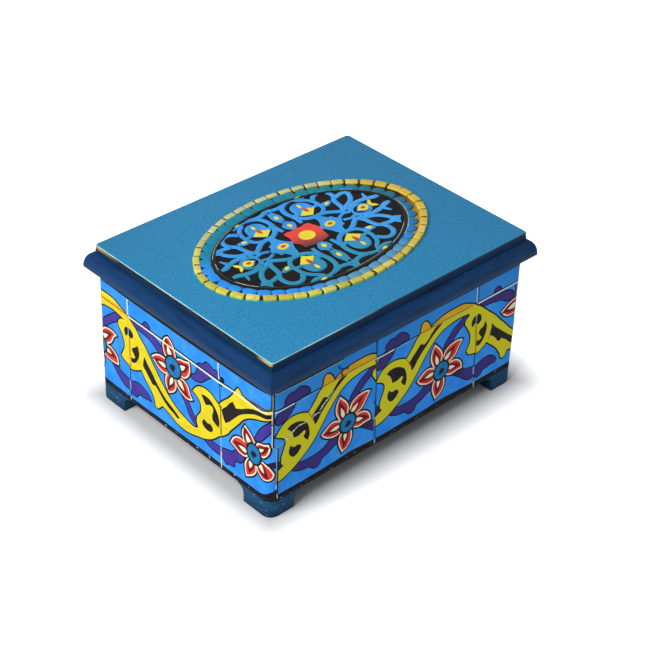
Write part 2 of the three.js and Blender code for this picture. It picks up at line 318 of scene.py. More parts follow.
def is_outside(loop, axis, value, keep_above):
    """True where a cut would take away the whole loop."""
    spread = [point[axis] for point in loop]
    return max(spread) + spare < value if keep_above else min(spread) - spare > value


def clip(shape, axis, value, keep_above):
    """Cuts a solid with a plane, drops one side and closes the cut."""
    normal = Vector((0, 0, 0))
    normal[axis] = -1.0 if keep_above else 1.0
    spot = Vector((0, 0, 0))
    spot[axis] = value * mm
    parts = shape.verts[:] + shape.edges[:] + shape.faces[:]
    bmesh.ops.bisect_plane(shape, geom=parts, plane_co=spot, plane_no=normal, clear_outer=True)
    open_edges = [edge for edge in shape.edges if edge.is_boundary]
    if open_edges:
        bmesh.ops.holes_fill(shape, edges=open_edges, sides=0)


print("cuts ready, for example:", keep(right_of=-20, left_of=20))

# %% [markdown]
# Every patch of ink is one closed outline. A point with a third value is a corner, and the others are
# smooth. Such an outline could be a polygon with hundreds of corners. A filled 2D curve needs only the few
# points that its shape turns on, and Blender rounds the rest and grows or shrinks the outline when a border
# is wanted.

# %% Flat shapes
smoothness = 4
sunk = -0.06


def flat(stack, loop, material, top, grow=0.0, bottom=sunk, shift=0.0, cuts=()):
    """Adds a filled loop as one thin solid between two heights, in millimetres."""
    loop = [(point[0] + shift, *point[1:]) for point in loop]
    every_cut = (*cuts, *stack.cuts)
    if any(is_outside(loop, *cut) for cut in every_cut):
        return
    curve = bpy.data.curves.new("flat", "CURVE")
    curve.dimensions = "2D"
    curve.fill_mode = "BOTH"
    curve.resolution_u = smoothness
    curve.extrude = (top - bottom) / 2 * mm
    curve.offset = grow * mm
    for knot, point in add_spline(curve, loop, closed=True):
        if len(point) > 2:
            knot.handle_left_type = "VECTOR"
            knot.handle_right_type = "VECTOR"
    shape = as_bmesh(curve)
    bmesh.ops.translate(shape, verts=shape.verts, vec=(0, 0, (top + bottom) / 2 * mm))
    for cut in every_cut:
        clip(shape, *cut)
    stack.take(shape, material)


def oval(cx, cy, rx, ry, count=12, turn=0.0):
    """A smooth closed loop of points round an ellipse."""
    tilted = Matrix.Rotation(turn, 2)
    angles = [2 * math.pi * i / count for i in range(count)]
    return [tuple(Vector((cx, cy)) + tilted @ Vector((rx * math.cos(a), ry * math.sin(a)))) for a in angles]


print("flat shapes ready, an oval has", len(oval(0, 0, 2, 1)), "points")

# %% [markdown]
# The tiles meet in joints, and fine lines of paint run along them. Each is a ribbon of one width. A
# bevelled curve gives a ribbon too, but the ends of a flat one are cut square, as a brush or a ruling pen
# leaves them. So the points are moved half a width to either side and joined to one closed loop.

# %% Ribbons


def line(stack, points, width, material, top, **more):
    """A ribbon of one width along the points."""
    left = []
    right = []
    for i, point in enumerate(points):
        before = Vector(points[max(i - 1, 0)])
        after = Vector(points[min(i + 1, len(points) - 1)])
        along = (after - before).normalized()
        side = Vector((-along.y, along.x)) * width / 2
        left.append((*(Vector(point) + side), 1))
        right.append((*(Vector(point) - side), 1))
    flat(stack, left + right[::-1], material, top, **more)


def lines(stack, rows, **more):
    """Draws a table of ribbons: their points, width, ink and height."""
    for points, width, material, top in rows:
        line(stack, points, width, material, top, **more)


print("ribbons ready")

# %% [markdown]
# Between the scrolls grow violet leaves, outlined in ink. They are the lowest layer of the tile. All the
# outlines of the pattern are read off the photo, in millimetres along the wall and up from the table.
# Tracing by a program would give thousands of points, and given one by one a leaf needs about fifteen.

# %% Leaves of the long walls
long_leaves = [
    [(-16.1, 75.5, 1), (-14.4, 77.3), (-14.7, 79.3), (-12.2, 82.1), (-10, 82.7), (-8.3, 82.2),
     (-6.7, 83), (-4.4, 83.7), (-1.1, 82.7), (1.7, 80.7), (3.3, 78.2), (3.1, 76.4), (1.1, 76.6),
     (-1.7, 76.8), (-3.9, 75.6, 1)],
    [(-18.9, 73.8, 1), (-7.4, 74.1, 1), (-8.9, 71.4), (-11.1, 69.1), (-13.9, 67.1), (-17.2, 65.7),
     (-20, 66), (-21.1, 68.2)],
    [(-5.6, 30.7, 1), (-2.8, 30.2), (1.1, 29.6), (6.7, 29.5), (12.2, 30.2), (16.7, 31.8), (20, 34.3),
     (25, 34.4, 1), (27, 29.6, 1), (22.8, 28.2), (18.3, 25.7), (14.4, 24.6), (13.3, 23.2), (12.3, 21.2),
     (10, 20.4), (7.4, 21.3), (5.8, 22.9), (3.9, 23.8), (-1.1, 24.6), (-6.1, 26.6), (-9.2, 28.8, 1)],
    [(34.2, 54.9, 1), (36.1, 58.8), (38.9, 62.1), (42.2, 65.4), (46.7, 68.2), (50.6, 70.4),
     (54.5, 70.5, 1), (53.6, 66.8, 1), (51.1, 65.4), (47.8, 63.2), (44.4, 60.4), (41.7, 57.7),
     (38.9, 54.9, 1)],
    [(44, 31.6, 1), (47.3, 32.1), (51.2, 32.1), (54, 30.6), (57.3, 29.5), (62.3, 28.5), (65.1, 27.9),
     (67.9, 28.9), (71.8, 30), (76.2, 30), (79.6, 28.5), (81.8, 26.6), (83.6, 24, 1), (82.6, 22.7, 1),
     (79.6, 23), (75.1, 22.1), (71.8, 22), (70.7, 19.9), (68.4, 18.7), (66.2, 19.2), (64.6, 20.9),
     (60.7, 20.4), (57.3, 21.6), (53.4, 24.9), (49.6, 27.7), (46.2, 30.2)],
    [(64.6, 73.8, 1), (85.1, 73.5, 1), (91.2, 71.6), (94, 68.8), (96.6, 64.1, 1), (93, 64.4),
     (90.1, 64.9), (86.8, 66), (84, 68), (79.6, 69.3), (72.9, 70.4), (67.9, 71)],
    [(75.5, 76.4, 1), (77.3, 79.1), (79.6, 79.2), (82.2, 76.4, 1)]]
ink = print_ink("ink", (8, 22, 28), (16, 30, 36))
# on the front wall the violet turns darker: painted shade, because that wall stands in less light
violet = print_ink("violet", (72, 62, 160), (62, 46, 140), 60,
                   fades=(((0, -1, 0), 76.4, 76.9, (56, 46, 116), 0.75),))
leaf_border, leaf_border_top, leaf_top = 0.8, 0.02, 0.04


def draw_leaves(stack, leaves, **more):
    """Violet leaves on a wider shape of ink."""
    for leaf in leaves:
        flat(stack, leaf, ink, leaf_border_top, grow=leaf_border, **more)
        flat(stack, leaf, violet, leaf_top, **more)


print(len(long_leaves), "leaves on a tile of the long walls")

# %% [markdown]
# A yellow scroll winds through each tile, and it turns amber along its upper edge, where the next tile
# begins. It is one long outline, because the real one was drawn in one stroke. The outline is used three
# times: grown for the ink border, as it is for the yellow, and cut off below for the amber.

# %% Scroll of the long walls
long_scroll = [
    (-20.8, 32.1, 1), (-20.2, 25.4, 1), (-17.2, 25.7), (-13.3, 26.8), (-9.4, 28.5), (-5.6, 30.7),
    (-1.1, 33.8), (3.3, 37.1), (7.8, 41.6), (10.6, 45.4), (13.9, 49.9), (17.2, 54.9), (20.6, 59.3),
    (23.9, 63.2), (28.3, 67.1), (32.8, 69.6), (38.3, 71), (44.4, 71.8), (49.4, 71.6), (55.1, 69.9),
    (52.3, 67.1), (51.8, 64.9), (53.2, 62.1), (55.7, 58.2), (57.3, 54.3), (57.9, 50.4), (57.1, 47.1),
    (55.2, 43.5, 1), (57.3, 40.4), (60.1, 39.3), (63.4, 38.5), (64.8, 37.6), (67.3, 38.5), (70.7, 40.2),
    (72.9, 42.1, 1), (77.3, 38.2), (81.2, 34.6), (84.6, 30.4), (86.8, 26.6), (87.9, 23.8), (89.3, 22.4),
    (90.7, 22.7), (92.3, 24.9), (93.4, 27.1, 1), (95.1, 26.6), (101, 25.4, 1), (101, 36.8, 1),
    (95.7, 41), (91.8, 44.9), (87.3, 49.9), (82.9, 54.3), (78.4, 59.3), (74, 63.2), (69, 67.7),
    (64, 72.1), (60.7, 74.3), (59, 75.7), (54, 78.2), (49.6, 80), (41.1, 80.5), (35.6, 80.3),
    (30, 79.4), (25, 77.7), (21.8, 75.5, 1), (20.4, 78.8), (18.7, 81.1), (16.8, 82.4), (15.1, 82.2),
    (14, 80.4), (13.6, 77.7), (13, 75.2), (11.1, 73.5), (7.8, 68.8), (4.4, 64.6), (2.8, 62.7, 1),
    (-1.1, 64.6), (-5, 65.7), (-8.9, 66.1), (-12.8, 65.4), (-16.1, 63.8), (-18.9, 61), (-20.8, 57.7, 1),
    (-19.4, 56.8), (-16.7, 55.4), (-14.7, 53.5), (-13.9, 51), (-14.2, 48.8), (-15.3, 45.4),
    (-16.4, 42.7), (-16.9, 39.3), (-16.7, 37.1), (-15, 34.9, 1), (-17.2, 33.8)]
# on the front wall the yellow turns duller and greener: painted shade, because that wall stands in less
# light
gold = print_ink("yellow", (238, 220, 40), (222, 196, 34), 70, stretch=(1, 1, 3),
                 fades=(((0, -1, 0), 76.4, 76.9, (212, 210, 36), 0.85),))
amber = print_ink("amber", (226, 184, 38), (220, 156, 34), 70)
scroll_border = 1.0
scroll_border_top, scroll_top, amber_top = 0.06, 0.08, 0.09


def draw_scroll(stack, scroll, amber_cuts, **more):
    """A yellow scroll on its border of ink, with amber between the given cuts."""
    flat(stack, scroll, ink, scroll_border_top, grow=scroll_border, **more)
    flat(stack, scroll, gold, scroll_top, **more)
    cuts = (*more.pop("cuts", ()), *amber_cuts)
    flat(stack, scroll, amber, amber_top, cuts=cuts, **more)


print(len(long_scroll), "points round the scroll")

# %% [markdown]
# The scroll is shaded with dark patches inside its curls, as a tile painter gives it depth. A gradient
# would be softer than the photo, where the patches have clear edges. So they are flat shapes again, a
# little wider than drawn, because the ink has spread.

# %% Shading of the long walls
long_shades = [
    [(-12.4, 59.3, 1), (-10.6, 60.4), (-7.8, 60.7), (-5, 60.3), (-1.7, 58.8), (1.1, 56.6), (2.8, 53.2),
     (3.6, 49.3), (3.6, 46.6), (2.8, 44.4, 1), (1.1, 46), (0, 48.2, 1), (1.1, 49.9), (1, 51.7),
     (-0.3, 52.3), (-2.2, 51.6), (-4.4, 50.9), (-7.5, 51.1, 1), (-8.1, 53.2), (-8.9, 55.4),
     (-10.6, 57.7)],
    [(-10, 45.9, 1), (-8.6, 44.3), (-6.7, 43.7), (-5, 44.1), (-3.3, 43.2), (-2.5, 41.8), (-3.6, 39.9),
     (-5.6, 38.2), (-7.8, 37.8), (-9.7, 39.4), (-10.8, 41.6), (-10.7, 44.1)],
    [(8.3, 52.4, 1), (6.7, 56), (5.5, 58.4, 1), (8.3, 61.6), (11.1, 64.3), (13.3, 66.6), (14.4, 67.4),
     (15.6, 66.6), (17.2, 65.9, 1), (18.9, 66.8), (21.1, 68.8), (23.9, 72.1), (26.7, 74.3),
     (31.5, 75.2, 1), (27.8, 72.7), (24.4, 70.2), (21.1, 67.1), (17.8, 63.8), (14.4, 60.4),
     (11.7, 57.1), (10, 54.3)],
    [(58.6, 59.9, 1), (57.9, 62.4), (59, 65.2), (61, 66.2), (61.2, 62.4, 1), (60.2, 61)],
    [(61.9, 62.6, 1), (62.4, 66.6), (64.8, 65.4), (65.8, 62.7), (64.7, 60.4), (62.6, 60.2)],
    [(70.2, 58, 1), (71.4, 54.9), (71.3, 51.6), (70.3, 48.2), (68.4, 45), (65.7, 43.3), (63.2, 44.7),
     (63.4, 46.3), (66.2, 46.3), (68.2, 47.7), (66.4, 50.4), (65.4, 52.9), (66.2, 54.1), (68.7, 55.2)],
    [(76.8, 53.4, 1), (79.6, 49.9), (84, 46), (88.4, 42.1), (92.9, 38.2), (101, 32, 1), (101, 28.2, 1),
     (95.1, 32.1), (91.8, 35.4), (88.4, 37.9), (86.8, 38.9), (85.1, 37.7), (83.5, 38.5), (81.8, 41),
     (78.4, 44.3), (75.7, 46.2, 1), (75.9, 48.4), (76.6, 50.6)]]
shade = print_ink("shade", (28, 20, 24), (38, 34, 34))
shade_spread, shade_top = 0.4, 0.10


def draw_shades(stack, shades, **more):
    """Dark patches on a scroll."""
    for patch in shades:
        flat(stack, patch, shade, shade_top, grow=shade_spread, **more)


print(len(long_shades), "dark patches on a tile of the long walls")

# %% [markdown]
# Two small shapes come back in every flower: a pale drop inside each petal and an uneven spot in the
# middle. Both could be drawn point by point like the leaves, but they follow a rule. A drop is told by its
# two ends and its half width, and a spot by its centre and size.

# %% Drops and blots
neck_place, belly_place, neck_share = 0.35, 0.72, 0.72
blot_points, blot_swell, three_bumps, two_bumps = 10, 1.15, 0.12, 0.1


def drop(tip, end, half):
    """A teardrop: a corner at tip, widest two thirds of the way to end."""
    a = Vector(tip)
    b = Vector(end)
    side = Vector((a.y - b.y, b.x - a.x)).normalized() * half
    neck = a.lerp(b, neck_place)
    belly = a.lerp(b, belly_place)
    neck_side = side * neck_share
    return [(*a, 1), tuple(neck + neck_side), tuple(belly + side), tuple(b), tuple(belly - side),
            tuple(neck - neck_side)]


def blot(cx, cy, size):
    """An uneven round spot. Its bumps depend on its place, so that no two spots are alike."""
    out = []
    for i in range(blot_points):
        a = 2 * math.pi * i / blot_points
        reach = size * (blot_swell + three_bumps * math.sin(3 * a + cx) + two_bumps * math.sin(2 * a))
        out.append((cx + reach * math.cos(a), cy + reach * math.sin(a)))
    return out


print("a drop has", len(drop((0, 0), (0, 5), 1)), "points and a blot", len(blot(0, 0, 1)))

# %% [markdown]
# A flower is five red petals round a blue disc. Each petal has an ink outline and a cream border, and a
# pale drop with a wine-red rim lies in its middle. Mirrored copies of one petal would look stamped, because
# the real petals all differ. So every petal has its own few points, and one function lays its five layers.

# %% How a flower is built
cream = print_ink("cream", (250, 240, 214), (240, 214, 186))
rose = print_ink("red", (226, 66, 56), (198, 38, 42))
wine = print_ink("wine", (108, 20, 30), (84, 24, 32))
ivory = print_ink("ivory", (246, 244, 208), (232, 232, 196))
disc_blue = print_ink("disc", (30, 126, 190), (26, 108, 176))
pupil_ink = print_ink("pupil", (26, 28, 42), (18, 24, 38))
outline, cream_border = 1.1, 0.95
wine_beyond, ivory_share = 1.3, 0.86
ring, disc_inset = 1.2, 0.15
ink_top, cream_top, rose_top, wine_top, ivory_top = 0.08, 0.10, 0.12, 0.14, 0.16
ring_top, disc_top, pupil_top = 0.17, 0.19, 0.21


def draw_petals(stack, petals, **more):
    """Petals of five layers. A row has the tip, both sides, and the drop's two ends and half width."""
    for tip, side_a, side_b, drop_tip, drop_end, half in petals:
        loop = [(*tip, 1), *side_a, *side_b[::-1]]
        wine_tip = Vector(drop_end).lerp(Vector(drop_tip), wine_beyond)
        flat(stack, loop, ink, ink_top, grow=outline, **more)
        flat(stack, loop, cream, cream_top, **more)
        flat(stack, loop, rose, rose_top, grow=-cream_border, **more)
        flat(stack, drop(wine_tip, drop_end, half), wine, wine_top, grow=outline, **more)
        flat(stack, drop(drop_tip, drop_end, half * ivory_share), ivory, ivory_top, **more)


def draw_flower(stack, centre, radii, pupil, petals, **more):
    """Petals, and over them a blue disc on a ring of ink. The pupil has a size and a step right and up."""
    draw_petals(stack, petals, **more)
    size, right, up = pupil
    flat(stack, oval(*centre, radii[0] + ring, radii[1] + ring), ink, ring_top, **more)
    flat(stack, oval(*centre, radii[0] - disc_inset, radii[1] - disc_inset), disc_blue, disc_top, **more)
    flat(stack, blot(centre[0] + right, centre[1] + up, size), pupil_ink, pupil_top, **more)


print("a flower rises to", pupil_top, "mm above its sheet")

# %% [markdown]
# One whole flower stands in each tile of the long walls, and a single petal of the next flower reaches in
# from the right. The petal's round end lies beyond the sheet, where the cut takes it off. Points past the
# cut cost nothing and save a second kind of shape for the trimmed edge.

# %% Flowers of the long walls
long_petals = [
    ((26.7, 61.8), [(24.2, 57.1), (23.8, 52.1), (25.6, 47.1), (28.4, 43)],
     [(30, 58.2), (32.2, 55.4), (33.9, 51.6), (33.9, 48.8), (32.5, 45)], (27.8, 53.4), (30.3, 45.6),
     1.5),
    ((50.8, 54.6), [(47.8, 55.9), (42.8, 56), (38.3, 54.6), (35.3, 51.6), (35.2, 47)],
     [(47.8, 49.9), (45.6, 46), (41.7, 43.5), (37.5, 43)], (41.5, 50.6), (36.2, 46.2), 1.6),
    ((52.4, 32.8), [(51.1, 37.9), (47.8, 41.3), (43.3, 42.7), (38.2, 41.6)],
     [(47.8, 32.9), (42.8, 32.4), (38.9, 33.8), (36.5, 36.2)], (46, 37), (39.3, 38.7), 1.5),
    ((30, 20.2), [(33.9, 22.1), (36.9, 26), (37.5, 29.9), (35.6, 35)],
     [(28.9, 22.7), (27.5, 26), (26.9, 30.4), (29, 35)], (31.7, 27.5), (32.2, 33.8), 1.4),
    ((13.1, 41.3), [(15.6, 38.2), (19.4, 36), (23.3, 34.9), (28.5, 36.4)],
     [(16.7, 44.3), (20.6, 46.3), (24.4, 46), (28.4, 43)], (19.6, 40.6), (27.4, 40.8), 1.5)]
side_petal = [
    ((84, 58.8), [(88.4, 61.6), (91.8, 63.2), (96, 64.1), (101, 64)],
     [(86.2, 56), (90.1, 53.2), (95.1, 52.7), (101, 53)], (89.6, 58.2), (98, 59.6), 2.2)]
long_flower = ((33.7, 39.7), (5.8, 6), (1.9, 0.2, -0.5), long_petals)
print(len(long_petals), "petals and one that reaches in from the side")

# %% [markdown]
# Fine lines finish the tile: rusty brown where the glaze ran thin along a joint, pale green and grey where
# it is worn. They could be part of the paint, but they follow the drawing, so they are ribbons in a table.
# Two dusky patches show where the ground beside the scroll is darker.

# %% One tile of the long walls
long_dusk = [
    [(-21.2, 42.6, 1), (-19, 40.2), (-16.4, 36.9), (-14.6, 34.3, 1), (-17.8, 33.3), (-21.2, 31.9, 1)],
    [(44, 31.6, 1), (49, 32.3), (52, 31.9, 1), (53, 28, 1), (50, 27.6), (46.2, 30.2)]]
rust = print_ink("rust", (190, 110, 30), (150, 72, 24), 160)
dusk = print_ink("dusk", (44, 34, 70), (50, 44, 84), 60)
mist = print_ink("mist", (120, 170, 190), (150, 190, 200), 200, 0.5)
pale_joint = print_ink("pale_joint", (190, 196, 130), (150, 160, 96), 200, 0.5)
dusk_top, touch, touch_over = 0.045, 0.11, 0.12
tile_joint = 75.6
long_touches = [
    ([(13, 75.6), (22.5, 75.7), (40, 76), (57, 75.8)], 0.8, rust, touch),
    ([(21, 75.1), (40, 75.5), (58, 75.3)], 0.5, pale_joint, touch_over),
    ([(74.2, 43.2), (75.4, 46), (75.9, 49)], 0.6, rust, touch),
    ([(61.7, 60), (62, 55), (63.2, 47), (63.6, 38.5)], 0.9, rust, touch),
    ([(62.9, 57), (63.6, 50)], 0.9, amber, touch_over),
    ([(61.6, 66.4), (61.6, 61.8)], 0.8, mist, touch_over),
    ([(3, 62.4), (5.4, 58.6), (7.4, 54.6)], 0.55, rust, touch),
    ([(-20.6, 32), (-20.1, 25.6)], 1.4, amber, shade_top)]


def long_tile(stack, shift, low, high):
    """One tile of the long wall, moved along and cut to its share of the wall."""
    more = {"shift": shift, "cuts": keep(right_of=low, left_of=high)}
    draw_leaves(stack, long_leaves, **more)
    for patch in long_dusk:
        flat(stack, patch, dusk, dusk_top, **more)
    draw_scroll(stack, long_scroll, keep(above=tile_joint), **more)
    draw_shades(stack, long_shades, **more)
    lines(stack, long_touches, **more)
    draw_flower(stack, *long_flower, **more)
    draw_petals(stack, side_petal, **more)


print(len(long_touches), "fine lines on a tile of the long walls")

# %% [markdown]
# The end walls show another cut of the same print, so its leaves have their own outlines. The long tile
# could be stretched to serve here too, but the photo shows leaves and curls in other places. The function
# that draws leaves is shared, and only the points are new.

# %% Leaves of the short walls
short_leaves = [
    [(-56.1, 70.7, 1), (-60, 69.3), (-65, 65.4), (-69.4, 61.6), (-73.3, 57.1), (-74.6, 53.5, 1),
     (-70, 54.9), (-67.2, 57.7), (-63.3, 61), (-58.9, 64.3), (-56.1, 66), (-53.9, 68.8)],
    [(-44.4, 72.7, 1), (-27.2, 72.8), (-21.7, 71), (-17.2, 68.8), (-13.6, 64.9, 1), (-15, 63.3),
     (-18.3, 63.5), (-21.7, 64.6), (-24.4, 66.6), (-28.9, 68.2), (-35.6, 69.3), (-41.1, 69.9)],
    [(-33.5, 75.2, 1), (-32.2, 77.1), (-30.6, 78.2), (-27.8, 76.8), (-27, 75.2, 1)],
    [(-64.4, 31, 1), (-60.6, 31), (-57.8, 30.2), (-55, 29.1), (-48.9, 27.9), (-45.6, 27.7),
     (-42.2, 29.1), (-36.7, 29.4), (-32.8, 27.9), (-30, 26), (-27.9, 23.3, 1), (-30.6, 23), (-35.6, 22),
     (-39.4, 21.8), (-41.1, 19.3), (-43.9, 18.4), (-46.1, 19.2), (-47.8, 21.2), (-51.1, 20.6),
     (-54.4, 21.8), (-57.8, 24.6), (-61.7, 28.2)],
    [(15.1, 74.3, 1), (17.3, 75.9), (20.1, 76.8), (21.8, 79.1), (24.3, 80), (26.8, 79.1), (29, 78.1),
     (31.8, 78.6), (32.4, 74.1, 1)],
    [(15.1, 71.8, 1), (26.8, 71.8, 1), (24, 69.3), (20.7, 66), (17.9, 63.6), (13.4, 62.1),
     (9.2, 62.4, 1), (11.2, 65.2), (13.4, 66.6), (14.3, 68.8)],
    [(1.2, 44.1, 1), (5.1, 44.6, 1), (7.3, 42.1), (10.1, 38.2), (12.9, 34.3), (15.6, 29.7, 1),
     (11.8, 31), (7.9, 33.8), (5.7, 37.7), (3.4, 41.6)],
    [(20.7, 24.3, 1), (25.1, 26.9), (30.1, 26.8), (34.6, 26.8), (37.3, 27.6), (41.8, 29.1),
     (45.7, 30.4), (46.8, 31.8), (49.6, 33.4), (55.4, 33.2, 1), (54.6, 29.9), (51.8, 26.6),
     (47.9, 25.2), (46.8, 23.8), (46.8, 21), (44, 19.9), (41.8, 19.6), (39.8, 18.4), (37.9, 20),
     (34.6, 21.4), (30.1, 21.3), (25.1, 22.1)],
    [(63.6, 50.6, 1), (65.7, 54.9), (67.9, 59.3), (70.7, 63.2), (73.4, 66), (77.4, 69.4, 1),
     (78.2, 64.9), (75.7, 61.6), (72.9, 57.7), (70.1, 53.8), (66.8, 50.6, 1)]]
print(len(short_leaves), "leaves on a short wall")

# %% [markdown]
# The scroll of the end walls comes in from the left, dips under the middle and climbs to the right. It runs
# past the sheet on both sides, so that the cut leaves clean ends, as on a trimmed print. Its outline is one
# loop again, because a join between two loops would show as a dark seam.

# %% Scroll of the short walls
short_scroll = [
    (-82, 65.4, 1), (-78, 66.9), (-74.4, 68.5), (-71.1, 70.2), (-67.2, 71), (-61.7, 71.3), (-57.8, 71),
    (-51.1, 69.3, 1), (-55, 67.9), (-56.9, 65.4), (-56.7, 62.7), (-54.7, 59.9), (-52.8, 56.6),
    (-51.7, 52.7), (-51.7, 49.3), (-53.1, 46), (-54.8, 42.6, 1), (-53.9, 41), (-51.1, 39.6),
    (-47.8, 38.5), (-46.1, 37.1), (-42.8, 37.9), (-38.9, 39.9), (-36.3, 41.6, 1), (-32.8, 37.1),
    (-28.9, 33.2), (-26.1, 29.9), (-24.4, 26), (-23.6, 22.3, 1), (-21.7, 21.8), (-19.4, 23.8),
    (-17.2, 26.3, 1), (-13.3, 25.2), (-8.3, 23.2), (-3.3, 21.3), (1.1, 20.8), (6, 20.8), (10.7, 21.8),
    (16.2, 23.5), (20.7, 24.9), (25.1, 27.1), (29.6, 30.4), (33.4, 34.3), (36.2, 36.3), (40.7, 40.4),
    (44, 45.2), (47.3, 49.3), (50.7, 53.8), (54, 58.2), (57.9, 61.6), (63.4, 64.6), (69, 66.8),
    (73.4, 68.8), (82, 71.4, 1), (82, 77.4, 1), (77.3, 75.6), (73.4, 73.8), (69, 72.9), (64.6, 73),
    (58, 73.6), (52.9, 74.6, 1), (50.9, 76.8), (49.6, 77.4), (48.5, 75.9), (46.5, 72.7), (45.1, 70.2),
    (41.8, 66), (37.9, 62.1), (34.8, 58.5), (33.7, 56.6, 1), (30.7, 58.2), (27.3, 60.2), (22.9, 61.1),
    (19, 60.7), (15.7, 59.3), (12.9, 56.6), (10.7, 53.5, 1), (12.9, 52.7), (15.7, 51), (17.6, 48.6),
    (18.2, 45.4), (17.9, 42.7), (16.2, 39.9), (14.6, 37.1), (14.1, 33.8), (15.4, 29.9, 1), (13.4, 28.5),
    (10.1, 28), (5.1, 29.1), (0.6, 30.4), (-5, 32.7), (-10, 36), (-15, 40.4), (-20, 46), (-23.9, 50.4),
    (-27.8, 54.9), (-32.2, 60.4), (-36.7, 64.3), (-41.1, 68.8), (-45.6, 72), (-51.1, 75.3),
    (-56.1, 77.1), (-60, 78.8), (-65, 79.4), (-70, 79.4), (-74.4, 78.8), (-82, 76.6, 1)]
print(len(short_scroll), "points round the scroll")

# %% [markdown]
# The curls of this scroll carry the same dark patches as the long ones. They could be made by shrinking the
# scroll's own outline, but painted shading leans to one side of a curl. So each patch is drawn one by one.

# %% Shading of the short walls
short_shades = [
    [(-49.9, 59.1, 1), (-51, 61.6), (-50.4, 63.8), (-48.2, 65), (-48.2, 61.4, 1)],
    [(-47.2, 61.2, 1), (-47.1, 65), (-44.4, 64.2), (-43.4, 62.1), (-44.4, 60.2), (-46.1, 59.6)],
    [(-39.4, 56.4, 1), (-38.2, 53.2), (-38.5, 49.9), (-40, 46.6), (-42.2, 43.8), (-45.6, 42.9),
     (-47, 44.4), (-43.9, 45.2), (-41.5, 47.1), (-43.1, 49.9), (-44.2, 52), (-41.9, 54)],
    [(-32.8, 51.9, 1), (-30, 48.4), (-26.7, 44.9), (-22.8, 40.4), (-18.3, 36), (-13.9, 32.7),
     (-8.3, 29.9), (-2, 26.6, 1), (-2.8, 25.7), (-6.7, 27.1), (-11.7, 28.8), (-16.1, 31.6), (-20, 35.2),
     (-23.3, 37.9, 1), (-25.6, 37.2), (-27.8, 39.3), (-31.1, 42.7), (-34.1, 45.4, 1), (-33.8, 48.2)],
    [(18.8, 54.9, 1), (21.2, 55.8), (25.1, 55.5), (28.4, 53.7), (31.2, 51), (32.9, 47.7), (33.7, 43.8),
     (33.2, 40.8, 1), (31.6, 41.2), (28.4, 43, 1), (28.1, 45.4), (29, 48.8), (28.7, 51.6), (26.8, 52.5),
     (24.3, 51.6), (22.6, 50.5, 1), (21, 52.1), (20, 53.7)],
    [(20.9, 38.6, 1), (22.3, 37.9), (24, 37.5), (26.2, 38), (28, 36), (26.9, 33.9), (24.6, 33),
     (21.8, 33.4), (19.7, 34.7), (19.6, 36.8)],
    [(36.3, 54.8, 1), (40.1, 58.8), (42.9, 62.7), (45.3, 65.2, 1), (46.5, 64.1), (47.9, 62.2, 1),
     (50.1, 63.2), (54, 65.4), (58.4, 68.2), (63.4, 70.4), (68.4, 71.5), (73.4, 72.3), (82, 75.2, 1),
     (82, 73.4, 1), (73.4, 70.2), (68.4, 69.3), (64, 68.1), (60.1, 66.2), (56.8, 64.3), (53.4, 62.1),
     (50.1, 59.3), (46.2, 54.9), (42.9, 51), (39.3, 47.7, 1), (37.7, 50.4)]]
print(len(short_shades), "dark patches on a short wall")

# %% [markdown]
# An end wall shows two whole flowers and part of a third, which the left edge of the sheet cuts. All three
# go through the same functions as the flower of the long walls. Each flower is a row: its centre, the two
# radii of its disc, its pupil and its petals.

# %% Flowers of the short walls
middle_petals = [
    ((-10.8, 79.3), [(-14.2, 76.6), (-15.6, 72.7), (-15.3, 68.2), (-12.6, 64)],
     [(-7.2, 76.6), (-5, 72.7), (-3.9, 68.2), (-5, 65)], (-11.3, 73.2), (-8.6, 66.4), 2.1),
    ((-26.1, 57.7), [(-22.2, 53.8), (-17.8, 51.6), (-13.3, 51.6), (-10, 55)],
     [(-21.7, 61.3), (-17.2, 62.7), (-13.3, 62.4), (-10.6, 60)], (-20.2, 57), (-12.9, 57), 1.6),
    ((-10.8, 39.4), [(-6.1, 42.7), (-3.9, 46.6), (-4.2, 50.4), (-5.6, 54.6)],
     [(-13.6, 44.3), (-13.8, 48.8), (-12.5, 52.1), (-9.6, 55.4)], (-9.8, 45.6), (-7, 52.2), 1.6),
    ((10.9, 46.6), [(8.4, 49.9), (6.8, 53.8), (4, 56), (-1.4, 56)],
     [(7.3, 44.6), (2.9, 44.9), (-1.6, 47.1), (-4.8, 51.4)], (3.4, 48.8), (-2.2, 54), 2.0),
    ((7.9, 71.8), [(3.4, 70.2), (-1, 69.3), (-3.6, 67), (-2.4, 63.2)],
     [(8.9, 68.2), (8.2, 63.2), (5.1, 58.8), (2.3, 57.5), (-0.9, 58.8)], (4.6, 66.4), (-0.7, 62.6),
     1.9)]
